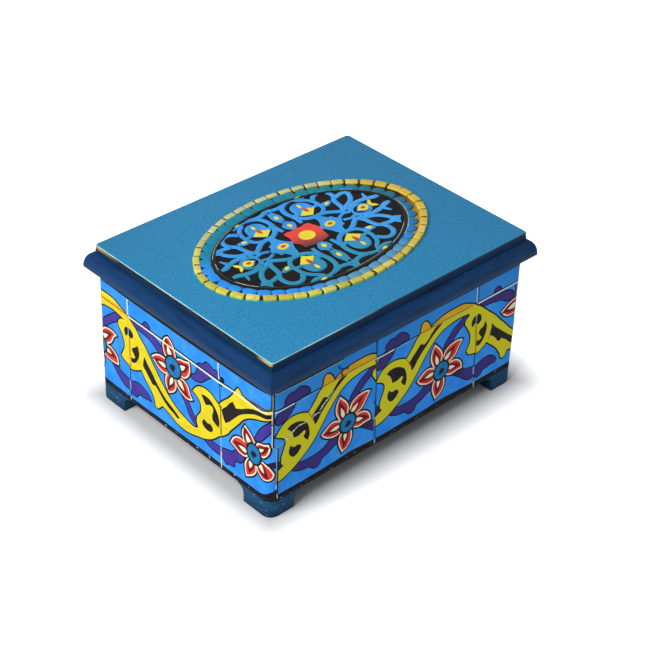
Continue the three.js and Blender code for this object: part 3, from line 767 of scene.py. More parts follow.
right_petals = [
    ((55.7, 55.7), [(53.7, 51.6), (53.4, 47.7), (55.1, 43.8), (58.8, 42)],
     [(59.6, 53.2), (62.9, 49.9), (64.2, 47.4), (61.6, 44.6)], (56.6, 50.6), (60, 44.4), 2.0),
    ((74.2, 52.6), [(71.2, 51.2), (68.2, 50.4), (65.6, 48.6), (65.6, 44.8)],
     [(75.3, 50), (74.9, 46.6), (72.6, 42.9), (69.6, 41.3), (67.2, 42)], (71.6, 48), (67.5, 44.6), 1.2),
    ((78, 31.2), [(76.6, 34.2), (73.4, 37.6), (69.6, 38.6), (66.8, 37.4)],
     [(76.4, 27.8), (71.8, 26.4), (67.9, 28.2), (65.4, 32.6)], (71.8, 31), (67.6, 36.2), 1.9),
    ((57.1, 20.2), [(61.8, 23.2), (65.1, 27.1), (65.7, 29.9), (64.2, 34.6)],
     [(56.2, 23.8), (55.7, 27.1), (56.2, 30.4), (60, 35.4)], (60.2, 27.8), (61, 33.4), 1.7),
    ((43.5, 36.6), [(46.2, 41.6), (49.6, 44.1), (54, 44.3), (58.6, 42)],
     [(47.3, 34.9), (51.8, 33.2), (56.2, 33.5), (59.2, 36.6)], (50.3, 38.4), (57.6, 37.8), 1.7)]
left_petals = [
    ((-58.9, 53.6), [(-61.7, 51), (-63.3, 47.7), (-66.1, 44.3), (-71, 42.4)],
     [(-61.1, 54.7), (-64.4, 55.2), (-68.9, 54.6), (-72.2, 52.7), (-74.8, 48), (-74.2, 45)],
     (-67.4, 50), (-73.6, 45.8), 1.8),
    ((-58, 32.7), [(-61.7, 32.1), (-66.7, 32.1), (-71.1, 33.4), (-73.6, 36)],
     [(-58.1, 35.4), (-59.4, 38.8), (-62.8, 41.3), (-66.7, 42.4), (-71, 41.4)], (-64.4, 37.3),
     (-70.6, 38.7), 1.5),
    ((-75.4, 22.4), [(-73, 26), (-72.3, 30), (-73, 33.4), (-75, 36)],
     [(-78, 26), (-79.5, 30), (-78.6, 34)], (-75.4, 28), (-75.6, 34), 1.5)]
short_flowers = [
    ((-6.4, 60.2), (6.4, 6.8), (2.1, -0.5, -0.4), middle_petals),
    ((63.4, 39.9), (5.3, 6.5), (2.0, -0.2, -0.2), right_petals),
    ((-75.5, 40.2), (5.6, 6.2), (1.8, 0, 0), left_petals)]
print(len(short_flowers), "flowers on a short wall")

# %% [markdown]
# On the end walls the print is worn through in a few lines, and bare brown board shows there. Wear could
# come from noise, but here it follows the joints of the pattern, so it is drawn as ribbons. A dusky patch
# and a dot of ink lie under the scroll and only peep out beside it.

# %% The pattern of the short walls
bare = paint("bare_wood_line", (104, 76, 52), (48, 36, 30), 0.6, 260)
dot_top = 0.05
ink_dot = oval(36.4, 75.6, 1.9, 1.9, 8)
short_amber = keep(left_of=-47.5, above=74.9, below=76.3)
dusk_patch = [(73, 38.6, 1), (77, 40.2), (82, 39.4, 1), (82, 35, 1), (76, 36.2)]
short_touches = [
    ([(-81, 74.8), (-70, 74.8), (-60, 74.7), (-48, 74.4)], 0.8, rust, touch),
    ([(57, 74.3), (62.9, 74.9), (71.8, 75.4), (81, 77.8)], 1.5, bare, touch),
    ([(-46.7, 58.6), (-46.6, 50), (-46.5, 38)], 1.0, rust, touch),
    ([(-46.5, 46), (-46.4, 41)], 1.2, amber, touch_over),
    ([(-47.5, 66), (-47.5, 62), (-47.6, 60)], 0.9, mist, touch_over),
    ([(35.1, 57), (35.3, 48), (35.5, 36.4)], 0.9, bare, touch),
    ([(33.9, 56.8), (35.8, 55.4)], 1.6, bare, touch_over)]


def short_tile(stack):
    """The whole pattern of a short wall."""
    draw_leaves(stack, short_leaves)
    flat(stack, dusk_patch, dusk, dusk_top)
    flat(stack, ink_dot, ink, dot_top)
    draw_scroll(stack, short_scroll, short_amber)
    draw_shades(stack, short_shades)
    lines(stack, short_touches)
    for flower in short_flowers:
        draw_flower(stack, *flower)


print(len(short_touches), "fine lines on a short wall")

# %% [markdown]
# The print shows the joints between its tiles as pale and dark lines, and they wander as hand-set tiles do.
# Most lie under the scrolls and are hidden by them. Two of the long ones repeat with the tile. Below the
# sheet a joint goes on for a little on the dark board, where the printed edge has split.

# %% Joints of the long walls
chalk = print_ink("chalk", (226, 238, 236), (190, 212, 214), 200, 0.5)
teal_line = print_ink("teal_line", (18, 70, 110), (30, 90, 110), 200, 0.5)
seam_pale = paint("seam_pale_line", (226, 206, 186), (150, 168, 166), 0.6, 160)
under, over, over_all = 0.05, 0.22, 0.23
low_lean, low_width, low_top = 0.1, 0.7, 0.12
sheet_back = -0.3
tile_joints = [
    ([(-23, 75.7), (-8, 75.7), (12, 75.6)], 0.8, ink, under),
    ([(22, 75.6), (60, 76), (80, 76.1), (101, 75.9)], 0.7, ink, under),
    ([(-22, 74.4), (-8, 74.6)], 0.9, chalk, under),
    ([(-8, 74.6), (14, 74.6)], 0.5, mist, under),
    ([(61, 75), (79, 75), (97, 75.2)], 1.1, chalk, under)]
upright_joints = [
    ([(-22.4, 87.3), (-21.9, 75.9)], 1.0, teal_line, over),
    ([(-21.9, 73), (-21.1, 57), (-20.7, 40)], 0.6, teal_line, over),
    ([(-20.4, 31), (-20, 24), (-19.7, 16)], 0.8, teal_line, over),
    ([(60, 87.2), (60.7, 76)], 0.7, chalk, under),
    ([(61.4, 87), (61.6, 76)], 0.9, teal_line, under),
    ([(63.3, 38.4), (63.4, 33), (63.4, 28.2)], 0.9, teal_line, under),
    ([(63.2, 28.2), (63.6, 22.6)], 1.3, mist, under),
    ([(63.8, 22), (64.7, 16)], 0.8, teal_line, under)]


def low_ends(stack, places):
    """Short pale ends of the joints, on the board under the sheet."""
    for along, high, low in places:
        ends = [(along, high), (along + low_lean, low)]
        line(stack, ends, low_width, seam_pale, low_top, bottom=sheet_back)


print(len(tile_joints), "joints that repeat with the tile and", len(upright_joints), "upright ones")

# %% [markdown]
# The sheet is old: its left tile has a fine crack with chalky chips, and the joints are rubbed to bare
# board. Displacing the surface would need far more faces than a crack of half a millimetre is worth. Thin
# pale ribbons and small uneven spots over the print read the same from any distance.

# %% Wear of the long walls
worn_joints = [
    ([(-22.6, 74.4), (-21.4, 70), (-21.9, 66.5)], 1.1, bare, over_all),
    ([(94.6, 74.4), (95.6, 71), (95.3, 66)], 1.4, bare, over),
    ([(-100, 87.2), (-72, 86.6), (-48.6, 86.8)], 0.6, mist, over),
    ([(-51.7, 83.9), (-50.6, 81.8), (-48.4, 80.4), (-44, 79.2)], 1.2, teal_line, over),
    ([(-48.5, 80.6), (-49.2, 77.2), (-47.3, 74)], 1.2, bare, over)]
crack = [
    ([(-96.9, 50.2), (-91.4, 51.9), (-87.6, 53.5)], 0.45, mist, over),
    ([(-87.6, 53.5), (-85.3, 55.4), (-80.6, 57.8), (-77, 57.2), (-74, 57.6)], 0.6, seam_pale, over),
    ([(-70.6, 57.8), (-68.6, 58.9), (-66.6, 59.1), (-64.6, 58.8)], 0.5, chalk, over),
    ([(-65, 60.4), (-63.6, 61.2), (-62.4, 63), (-59.6, 64.8), (-56.6, 66.6)], 0.55, chalk, over),
    ([(-57.6, 66), (-54.8, 68.8)], 0.6, mist, over)]
chips = [(-89.4, 52.7, 0.5), (-84.6, 55.9, 0.55), (-79.4, 57.5, 0.5), (-68.6, 58.9, 0.5), (-63.4, 62, 0.45),
         (-60.2, 64.6, 0.5)]
dusk_spot = blot(-49.4, 73.4, 0.9)
long_low_ends = [(-19.7, 17, 12.6), (64.7, 16.8, 12.2), (-95.6, 17, 13.4)]
tile_width, past_wall = 76.3, 99
first_tile, last_tile, joint_nudge = -21.0, -21.3, 0.1


def long_joints(stack):
    """The joints of a long wall and what time has done to them."""
    low_ends(stack, long_low_ends)
    first = keep(right_of=first_tile + joint_nudge, left_of=past_wall)
    last = keep(right_of=-past_wall, left_of=last_tile + joint_nudge)
    lines(stack, tile_joints, cuts=first)
    lines(stack, tile_joints, shift=-tile_width, cuts=last)
    lines(stack, upright_joints + worn_joints + crack)
    flat(stack, dusk_spot, dusk, over)
    for chip in chips:
        flat(stack, blot(*chip), chalk, over_all)


print(len(worn_joints), "worn joints,", len(crack), "stretches of the crack and", len(chips), "chips")

# %% [markdown]
# An ivory joint runs right across the end walls, a little below the scroll's upper edge. It lies over the
# print, while the upright joints lie under the scroll and the leaves. The two heights keep them apart
# without cutting one shape out of another.

# %% Joints of the short walls
short_joint_rows = [
    ([(-47.7, 85.5), (-47.6, 74.4)], 1.0, chalk, under),
    ([(-46.7, 84.6), (-46.6, 82.4)], 0.9, ink, scroll_border_top),
    ([(-47, 37), (-47, 28)], 0.9, teal_line, under),
    ([(-47.4, 28), (-47.3, 21)], 1.0, mist, under),
    ([(-47, 21), (-47.2, 15)], 1.0, teal_line, under),
    ([(32.9, 85.2), (33.6, 74)], 0.9, chalk, under),
    ([(33.8, 82), (34.2, 76)], 0.7, ink, under),
    ([(34.2, 71), (34.7, 64), (34.8, 58)], 0.8, teal_line, under),
    ([(35.3, 35), (35.4, 24)], 1.0, mist, under),
    ([(35.4, 24), (35.6, 15)], 0.9, chalk, under),
    ([(-46, 74.8), (-10, 74.4), (13, 74), (47.8, 73.85)], 1.0, ink, under),
    ([(-47, 73.8), (-30, 73.7), (-10, 73.2), (12, 73), (32, 72.4), (47, 73.1)], 0.95, ivory, over),
    ([(47, 73.1), (60, 72.8), (69, 72.7), (76.2, 75)], 1.0, ivory, over),
    ([(33.8, 71.4), (36.4, 71.2)], 0.9, ink, over_all)]
short_low_ends = [(-47.2, 15.8, 13.4), (35.6, 15.8, 12.6)]


def short_joints(stack):
    """The joints of a short wall."""
    low_ends(stack, short_low_ends)
    lines(stack, short_joint_rows)


print(len(short_joint_rows), "joints on a short wall")

# %% [markdown]
# The real sheets are glued round the corners of the box, so the print bends there with the wood. A Curve or
# a Simple Deform modifier can bend a mesh, but each has its own idea of where the bend begins. Here every
# point is carried by one rule: straight on along the wall, then round the corner by its distance. The flat
# shapes have few points, so they are first cut along upright lines wherever the corner will bend.

# %% Round the corners
bend_degrees = 9
bend_steps = [corner * math.radians(a) for a in range(0, 90, bend_degrees)]


def wrap(bm, half, depth, quarter):
    """Carries flat points (along, up, height) onto a wall. Its face is depth from the middle of the box."""
    straight = half - corner
    for sign in (-1, 1):
        for step in bend_steps:
            parts = bm.verts[:] + bm.edges[:] + bm.faces[:]
            spot = (sign * (straight + step) * mm, 0, 0)
            bmesh.ops.bisect_plane(bm, geom=parts, plane_co=spot, plane_no=(1, 0, 0))
    turn = Matrix.Rotation(quarter * math.pi / 2, 3, "Z")
    for v in bm.verts:
        along, up, height = (c / mm for c in v.co)
        over_bend = abs(along) - straight
        if over_bend <= 0:
            spot = Vector((along, -(depth + height), up))
        else:
            angle = over_bend / corner
            reach = corner + height
            x = straight + reach * math.sin(angle)
            spot = Vector((math.copysign(x, along), -(depth - corner + reach * math.cos(angle)), up))
        v.co = turn @ (spot * mm)
    bmesh.ops.recalc_face_normals(bm, faces=bm.faces)


def finished(bm, materials, name, body, node):
    """Makes the object of a bmesh. It rides on a body and stands for a CAD node."""
    mesh = bpy.data.meshes.new(name)
    bm.to_mesh(mesh)
    bm.free()
    for material in materials:
        mesh.materials.append(material)
    made = bpy.data.objects.new(name, mesh)
    bpy.context.scene.collection.objects.link(made)
    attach(made, body)
    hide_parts(node)
    print(name, len(mesh.polygons), "faces")
    return made


print("the corner bends in", len(bend_steps), "steps")

# %% [markdown]
# The long sheets end on the corner, but lower down the left edge steps back, where the end sheet laps over
# it. Each sheet is a slab with two blues: the darker one, on the tile row above the joint, is painted shade
# under the moulding. The pattern is laid on that slab and cut to its edges. One box needs two long sheets,
# so the work is a function that can turn the sheet by quarters, which keeps front and back exactly alike.

# %% A long sheet
long_end, long_step_end, long_step = 98.7, 95.9, 50.2
step_strip = -90
upper_top = 0.01
long_outline = [
    (-long_end, 87.3, 1), (-long_end, 50.8, 1), (-96.1, 49.6, 1), (-long_step_end, 16.2, 1), (-80, 15.9),
    (-60, 16.3), (-48, 16.8), (-40, 17.5), (-30, 16.8), (-20, 16.2), (0, 16.2), (20, 16.4), (34, 17.3),
    (46, 16.9), (64, 16), (80, 15.8), (long_end, 16, 1), (long_end, 87.4, 1), (60, 87.3), (20, 87.5),
    (-20, 87.4), (-47, 87.6, 1), (-48.4, 86.9, 1), (-72, 86.8)]
long_edge_row = [
    ([(-98.4, 87.2), (-98.4, 70), (-98.4, 50.9), (-95.7, 49.4), (-95.6, 34), (-95.6, 16.4)], 0.6, ink,
     over_all)]


def long_sheet(name, quarter, node):
    """A printed sheet of a long wall, turned by quarters to its side of the box."""
    stack = Stack()
    stack.cuts = keep(right_of=-long_end, left_of=long_end)
    flat(stack, long_outline, sky, 0.0, bottom=sheet_back)
    flat(stack, long_outline, sky_row_shaded, upper_top, cuts=keep(above=tile_joint))
    long_joints(stack)
    long_tile(stack, 0.0, first_tile, past_wall)
    long_tile(stack, -tile_width, step_strip, last_tile)
    for cuts in (keep(right_of=-long_end, above=long_step), keep(right_of=-long_step_end, below=long_step)):
        stack.cuts = cuts
        long_tile(stack, -tile_width, -past_wall, step_strip)
    stack.cuts = ()
    lines(stack, long_edge_row)
    wrap(stack.bm, half_length, half_width, quarter)
    return finished(stack.bm, stack.materials, name, "box", node)


print("outline of a long sheet:", len(long_outline), "points")

# %% [markdown]
# The end sheets lap round the corner. Low down they reach further than above, which makes the step in the
# seam near the corner. The seam shows as a pale worn line, with ink and rust beside it. The lap could be
# two pieces, but one sheet cut in three regions keeps the pattern unbroken across it.

# %% A short sheet
seam_paint = paint("seam_line", (140, 142, 108), (92, 92, 66), 0.6, 260)
short_end, short_step_end, lap_end, short_step = 76.6, 76.5, 79.3, 50.8
lap_strip = 72
short_outline = [
    (-short_end, 86.8, 1), (-short_end, 15.9, 1), (-60, 15.4), (-40, 15.1), (-20, 15.5), (0, 15.3),
    (20, 15.6), (40, 15.2), (60, 15.4), (70, 15.8), (74, 17.4), (lap_end, 20.4, 1), (lap_end, 50, 1),
    (short_step_end, 51.4, 1), (short_step_end, 86.9, 1), (72, 86.6), (60, 85.7), (40, 85.4),
    (20, 85.1), (0, 85), (-20, 85.3), (-40, 85.5), (-60, 86.2)]
short_regions = [
    keep(right_of=-short_end, left_of=lap_strip),
    keep(right_of=lap_strip, left_of=short_step_end, above=short_step),
    keep(right_of=lap_strip, left_of=lap_end, below=short_step)]
seam_rows = [
    ([(75.7, 86.7), (75.7, 80), (75.6, 76.2)], 0.5, ink, over),
    ([(76.35, 86.7), (76.3, 80), (76.3, 75.4)], 0.8, seam_paint, over),
    ([(76.1, 75.4), (76.2, 66), (76.3, 58), (76.3, 51.2), (79, 49.6)], 0.6, seam_pale, over),
    ([(79, 49.6), (79, 40), (79, 28.4)], 0.5, mist, over),
    ([(79, 28.4), (79.05, 23.6)], 0.6, rust, over),
    ([(79, 23.6), (79, 20.4)], 0.5, seam_pale, over)]
bare_spots = [(76.2, 68.4, 0.6), (76.3, 66.4, 0.5)]


def short_sheet(name, quarter, node):
    """A printed sheet of a short wall, turned by quarters to its side of the box."""
    stack = Stack()
    stack.cuts = keep(right_of=-short_end, left_of=lap_end)
    flat(stack, short_outline, sky, 0.0, bottom=sheet_back)
    short_joints(stack)
    for region in short_regions:
        stack.cuts = region
        short_tile(stack)
    stack.cuts = ()
    lines(stack, seam_rows)
    for spot in bare_spots:
        flat(stack, blot(*spot), bare, over_all)
    wrap(stack.bm, half_width, half_length, quarter)
    return finished(stack.bm, stack.materials, name, "box", node)


print("outline of a short sheet:", len(short_outline), "points")

# %% [markdown]
# The photo shows the front and the left sheet, and the other two are taken to be alike. A linked copy that
# is turned would save time, but a finished piece has its place in its own mesh. So each sheet is made anew
# and turned by its number of quarters.

# %% All four sheets
long_sheet("front_printed_sheet", 0, "print_front")
short_sheet("right_printed_sheet", 1, "print_right")
long_sheet("back_printed_sheet", 2, "print_back")
short_sheet("left_printed_sheet", 3, "print_left")

# %% [markdown]
# Boards, feet and mouldings are sawn wood under paint, and no painted edge is knife sharp. Modelling them
# again would only repeat the CAD. So a copy of each CAD mesh is welded, its flat triangles are joined, and
# its sharp edges are bevelled a little to catch the light. Where two mouldings meet, the mitre stays sharp
# and the ends part by a hair, which draws the joint's fine line.

# %% Dressing a board
cad_weld = 1e-6
flat_degrees, sharp_degrees, smooth_degrees = 0.5, 32, 35
mitre_reach, mitre_gap = 0.4, 0.13


def on_mitre(vertex):
    """True for a point on one of the four upright planes where two mouldings meet."""
    x, y = (abs(c) / mm for c in vertex.co[:2])
    return abs((x - half_length) - (y - half_width)) < mitre_reach


def bends_between(edge, least, most):
    """True where two faces meet and turn by more than least and less than most, in degrees."""
    return len(edge.link_faces) == 2 and math.radians(least) < edge.calc_face_angle(0) < math.radians(most)


def dress(node, materials, body, width, segments=2, mitred=False):
    """A welded copy of a CAD node with rounded edges, which stands for the node."""
    bm = bmesh.new()
    bm.from_mesh(nodes[node].data)
    bmesh.ops.remove_doubles(bm, verts=bm.verts, dist=cad_weld)
    bmesh.ops.dissolve_limit(bm, angle_limit=math.radians(flat_degrees), verts=bm.verts, edges=bm.edges)
    sharp = [edge for edge in bm.edges if bends_between(edge, sharp_degrees, 360)]
    if mitred:
        sharp = [edge for edge in sharp if not (on_mitre(edge.verts[0]) and on_mitre(edge.verts[1]))]
    bmesh.ops.bevel(bm, geom=sharp, offset=width * mm, offset_type="OFFSET", segments=segments,
                    profile=0.5, affect="EDGES", clamp_overlap=True, material=-1)
    if mitred:
        low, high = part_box(node)
        long_axis = 0 if high.x - low.x > high.y - low.y else 1
        for v in bm.verts:
            if on_mitre(v):
                v.co[long_axis] += math.copysign(mitre_gap * mm, v.co[long_axis])
    for face in bm.faces:
        face.smooth = True
    for edge in bm.edges:
        edge.smooth = bends_between(edge, -1, smooth_degrees)
    return finished(bm, materials, "painted_" + node, body, node)


print("edges bend the light from", sharp_degrees, "degrees on")

# %% [markdown]
# The box stands on four dark blue feet, which are darker towards the table and rubbed to pale specks. Its
# base board is hardly painted: the cut edge is almost black. Both get brush marks that run along the piece.
# Real brush marks could be painted on an image, but noise stretched on the object's axes never shows a
# seam.

# %% Feet and base
foot_paint = paint("foot_paint", (24, 66, 104), (40, 90, 122), 0.42, 70, (1, 1, 4), 0.35,
                   specks=((140, 166, 182), 240, 0.665), fades=(((0, 0, 1), 7, 1, (16, 34, 58), 0.5),))
charred = paint("charred_edge", (26, 28, 32), (44, 46, 46), 0.6, 160, (1, 1, 2), 0.5,
                specks=((170, 178, 172), 300, 0.655))
for place in ("front_left", "front_right", "back_left", "back_right"):
    dress("foot_" + place, [foot_paint], "box", width=0.35)
dress("base_panel", [charred], "box", width=0.25)

# %% [markdown]
# The lid's frame is an ovolo moulding in deep blue, darker towards its top, while its lower lip is greyed
# by a painted reflection of the white table. The same dressing serves, with the mitres kept. Its streaks
# are stretched sideways on both axes, so that they follow each of the four lengths.

# %% Mouldings
sides = ("front", "right", "back", "left")
# the second fade greys the lower lip: a painted reflection of the white table
moulding_paint = paint("moulding_paint", (14, 58, 106), (6, 32, 62), 0.42, 80, (0.4, 0.4, 3), 0.4,
                       specks=((30, 76, 116), 620, 0.67), gloss=0.08,
                       fades=(((0, 0, 1), 100, 105.8, (14, 38, 62), 0.6),
                              ((0, 0, 1), 97.6, 93.4, (52, 76, 94), 0.6)))
for side in sides:
    dress("moulding_" + side, [moulding_paint], "lid", width=0.22, mitred=True)

# %% [markdown]
# The walls are dark outside, where the sheets leave a strip bare above and below, and blue inside. Two
# objects per wall would make an edge that can gape. One mesh with two materials is enough: a face takes the
# inner paint when its middle lies well inside the outer faces and below the rim.

# %% Walls in two paints
wall_paint = paint("wall_paint", (36, 30, 28), (60, 48, 38), 0.62, 120, (1, 1, 5), 0.4,
                   specks=((150, 130, 104), 260, 0.7))
inner_paint = paint("inner_paint", (38, 104, 150), (46, 118, 164), 0.55, 60, (1, 1, 3), 0.3)
well_inside, rim_strip = 5.0, 0.7
for side in sides:
    wall = dress("wall_" + side, [wall_paint, inner_paint], "box", width=0.3)
    for face in wall.data.polygons:
        x, y, z = (abs(c) / mm for c in face.center)
        if x < half_length - well_inside and y < half_width - well_inside and z < wall_top - rim_strip:
            face.material_index = 1
print("inner faces painted")

# %% [markdown]
# The lid board is light blue on top with fine speckles, and its sawn edge is dark and stained. Between the
# two runs a bright line along the rounded edge, a painted highlight, which fades out towards the right of
# the front. The bevel made faces for that line already, so a face's height and tilt choose its paint. Fades
# put the stains on the corners where the photo has them.

# %% The lid board
lid_paint = paint("lid_paint", (54, 144, 193), (34, 118, 167), 0.58, 700, bump=0.25,
                  specks=((90, 166, 200), 900, 0.65), gloss=0.12,
                  fades=(((-1, 0.6, 0), 84, 146, (42, 124, 166), 0.75),))
lid_edge = paint("lid_edge", (24, 36, 38), (70, 66, 46), 0.6, 90, (1, 1, 5), 0.4,
                 fades=(((1, -1, 0), -23, -18, (38, 54, 80), 0.9),
                        ((-1, -0.1, 0), 107.4, 108.1, (196, 172, 104), 0.9),
                        ((-1, 1, 0), 154, 172, (182, 142, 74), 0.85)))
# a painted highlight along the rounded edge of the lid board, fading out towards the right of the front
lid_highlight = paint("lid_edge_painted_highlight", (172, 216, 230), (100, 172, 196), 0.4, 60, bump=0.2,
                 fades=(((1, -1, 0), 20, 58, (24, 62, 88), 0.95),))
sawn_depth, edge_tilt, highlight_tilt = 0.9, 0.45, 0.88
lid_board = dress("lid_panel", [lid_paint, lid_edge, lid_highlight], "lid", width=0.28)
for face in lid_board.data.polygons:
    if face.center.z / mm < lid_top - sawn_depth or face.normal.z < edge_tilt:
        face.material_index = 1
    elif face.normal.z < highlight_tilt:
        face.material_index = 2
# the count is of the faces that carry the painted highlight
print("rubbed line on", sum(face.material_index == 2 for face in lid_board.data.polygons), "faces")

# %% [markdown]
# The oval on the lid is a cast relief. It is built up like the real one, from the outside in: a rope
# border, a ring of petals, a black rim, and a black field with a network and stones. Sculpting would hide
# how it is made. Small solids laid side by side are easy to count and to place. Rope blocks and petals
# start from a cube and a sphere, and each leans a little differently, as cast ones do.

# %% Blocks and pebbles
relief = Stack()
block_edge = 0.26
pebble_fullness = 0.84
lean, length_beat, turn_beat = 0.05, 2.3, 1.7


def block():
    """A cube with rounded edges, one unit to each side."""
    shape = bmesh.new()
    bmesh.ops.create_cube(shape, size=2.0)
    bmesh.ops.bevel(shape, geom=shape.edges[:], offset=block_edge, offset_type="OFFSET", segments=2,
                    profile=0.5, affect="EDGES", clamp_overlap=True, material=-1)
    return shape


def pebble():
    """A sphere of one unit whose ends are a little fuller."""
    shape = bmesh.new()
    bmesh.ops.create_uvsphere(shape, u_segments=16, v_segments=6, radius=1.0)
    for v in shape.verts:
        v.co.x = math.copysign(abs(v.co.x) ** pebble_fullness, v.co.x)
    return shape


def lay(shape, material, spot, along, sizes, rise, seed):
    """Lays a shape on the lid board. Sizes are along, across and up, and the seed varies it a little."""
    length, breadth, height = (size * mm for size in sizes)
    longer = 1 + lean * math.sin(seed * length_beat)
    bmesh.ops.scale(shape, vec=(length * longer, breadth, height), verts=shape.verts)
    turn = Matrix.Rotation(math.atan2(along.y, along.x) + lean * math.sin(seed * turn_beat), 3, "Z")
    bmesh.ops.rotate(shape, matrix=turn, verts=shape.verts, cent=(0, 0, 0))
    bmesh.ops.translate(shape, vec=(spot.x * mm, spot.y * mm, (lid_top + rise) * mm), verts=shape.verts)
    for face in shape.faces:
        face.smooth = True
    relief.take(shape, material)


for shape in (block(), pebble()):
    print("a lump with", len(shape.faces), "faces")
    shape.free()

# %% [markdown]
# Forty-six blocks stand round the oval at even distances. Equal angles would be the easy way, but they
# crowd the blocks where an ellipse is narrow and spread them where it is wide. So the ellipse is walked
# round degree by degree, and a block is set down wherever its share of the walked length is reached.

# %% Even steps round an oval


def ring_point(a, b, share):
    """A point of the ellipse by its share of the length round it, with its direction."""
    table = []
    total = 0.0
    last = Vector((a, 0))
    for degrees in range(1, 361):
        angle = math.radians(degrees)
        spot = Vector((a * math.cos(angle), b * math.sin(angle)))
        total += (spot - last).length
        table.append((total, angle))
        last = spot
    wanted = share % 1.0 * total
    angle = next(angle for length, angle in table if length >= wanted)
    along = Vector((-a * math.sin(angle), b * math.cos(angle))).normalized()
    return Vector((a * math.cos(angle), b * math.sin(angle))), along


print("a quarter of the way round:", [round(c, 1) for c in ring_point(77.1, 50.0, 0.25)[0]])

# %% [markdown]
# The rope border is a row of blocks in three yellows, which lie on a dark oval, and a pale blue halo
# surrounds that on the board. One yellow for all would look moulded from one lump. Fades tint the rope
# where the photo does: paler at the back, warmer at the front and on the right.

# %% Paints of the rope
halo_paint = paint("halo_paint", (34, 150, 196), (40, 138, 186), 0.5, 300, bump=0.2)
rope_shadow = paint("rope_shadow", (36, 36, 26), (54, 46, 28), 0.5, 130, bump=0.4,
                    fades=(((0.3, -1, 0), 20, 42, (212, 158, 56), 0.85),))
rope_paints = [paint(f"rope_paint_{i}", shown, (190, 178, 80), 0.4, 330, bump=0.4,
                     fades=(((0, 1, 0), 22, 50, (206, 210, 180), 0.55),
                            ((0.5, -0.86, 0), 30, 60, (230, 190, 84), 0.6),
                            ((1, 0.25, 0), 60, 76, (228, 182, 58), 0.65)))
               for i, shown in enumerate(((226, 218, 88), (206, 196, 80), (236, 226, 128)))]
# a painted highlight for the outer ridge of each rope block and painted shade for the inner one
rope_painted_highlight = paint("rope_painted_highlight", (244, 240, 170), (216, 208, 110), 0.4, 330, bump=0.3)
rope_painted_shade = paint("rope_painted_shade", (120, 110, 48), (78, 72, 36), 0.5, 330, bump=0.4,
                  fades=(((0.5, -0.86, 0), 26, 56, (206, 150, 54), 0.8),))
rope_joint = paint("rope_joint", (54, 48, 26), (84, 74, 40), 0.5, 330, bump=0.4,
                   fades=(((0.5, -0.86, 0), 36, 60, (132, 100, 46), 0.8),))
print(len(rope_paints), "yellows for the rope")

# %% [markdown]
# Each unit of the rope is one block with a pale ridge outside, which is a painted highlight, and a dark one
# inside, which is painted shade, and a low dark joint follows it. The ridges are raised too, so the lamps
# also light and shade them. At the two ends of the oval the blocks are broader, as in the photo, so their
# breadth grows with their turn.

# %% Rope border
rope_centre = Vector((-0.9, -0.15))
rope_length, rope_width, units = 77.1, 50.0, 46
narrow, wider_right, wider_left = 1.85, 0.75, 0.15
block_length, block_height, block_rise = 3.85, 1.1, 0.95
glint_size, glint_rise, glint_reach = (2.9, 0.5, 0.45), 1.55, 0.66
shade_size, shade_rise, shade_reach = (2.7, 0.5, 0.4), 1.5, 0.72
joint_size = (0.7, 1.6, 0.8)
glued = lid_top - 0.1
oval_points = 40
halo_step = 0.8
halo = oval(rope_centre.x - halo_step, rope_centre.y - halo_step, 80.3, 52.5, oval_points)
rope_bed = oval(*rope_centre, 78.2, 50.4, oval_points)
flat(relief, halo, halo_paint, lid_top + 0.04, bottom=glued)
flat(relief, rope_bed, rope_shadow, lid_top + 0.8, bottom=glued)
for unit in range(units):
    spot, along = ring_point(rope_length, rope_width, unit / units)
    outward = Vector((along.y, -along.x))
    at_the_end = along.y ** 2
    breadth = narrow + (wider_right if spot.x > 0 else wider_left) * at_the_end
    spot += rope_centre + outward * (narrow + wider_right * at_the_end - breadth)
    # a step of seven over five places takes the three paints in no order that shows
    lay(block(), rope_paints[unit * 7 % 5 % 3], spot, along, (block_length, breadth, block_height),
        block_rise, unit)
    lit, shaded = spot + outward * breadth * glint_reach, spot - outward * breadth * shade_reach
    lay(pebble(), rope_painted_highlight, lit, along, glint_size, glint_rise, unit * 3)
    lay(pebble(), rope_painted_shade, shaded, along, shade_size, shade_rise, unit * 5)
    spot, along = ring_point(rope_length, rope_width, (unit + 0.5) / units)
    lay(block(), rope_joint, spot + rope_centre, along, joint_size, block_rise, unit)
print(units, "rope blocks")

# %% [markdown]
# Inside the rope lies a ring of blue petals, one behind each joint. They are broad pebbles, and the rim
# covers their inner halves, so only the round outer ends show. Cutting half pebbles would give the same
# look for more work. Fades in several directions turn the blue greener towards the back, partly as painted
# shade, grey the front petals with a painted sheen, and darken those on the right and front right with
# painted shade.

# %% Ring of petals
# the teal at the back is partly painted shade, the grey at the front a painted sheen, the dark right
# painted shade
petal_paint = paint("petal_paint", (54, 152, 240), (46, 140, 228), 0.4, 90, bump=0.3,
                    fades=(((0.15, 1, 0), 2, 14, (30, 134, 156), 0.95),
                           ((0.05, -1, 0), 38, 43, (100, 158, 184), 0.85),
                           ((0.75, 0.66, 0), 42, 56, (30, 138, 130), 0.7),
                           ((1, 0.2, 0), 52, 66, (44, 112, 150), 0.8),
                           ((0.8, -0.6, 0), 50, 62, (40, 112, 156), 0.75)))
petal_centre = Vector((-3.0, -0.15))
petal_ring, petal_size, petal_rise = (68.6, 43.9), (4.3, 5.7, 1.0), 1.25
for unit in range(units):
    spot, along = ring_point(*petal_ring, (unit + 0.5) / units)
    lay(pebble(), petal_paint, spot + petal_centre, along, petal_size, petal_rise, unit)
print(units, "petals")
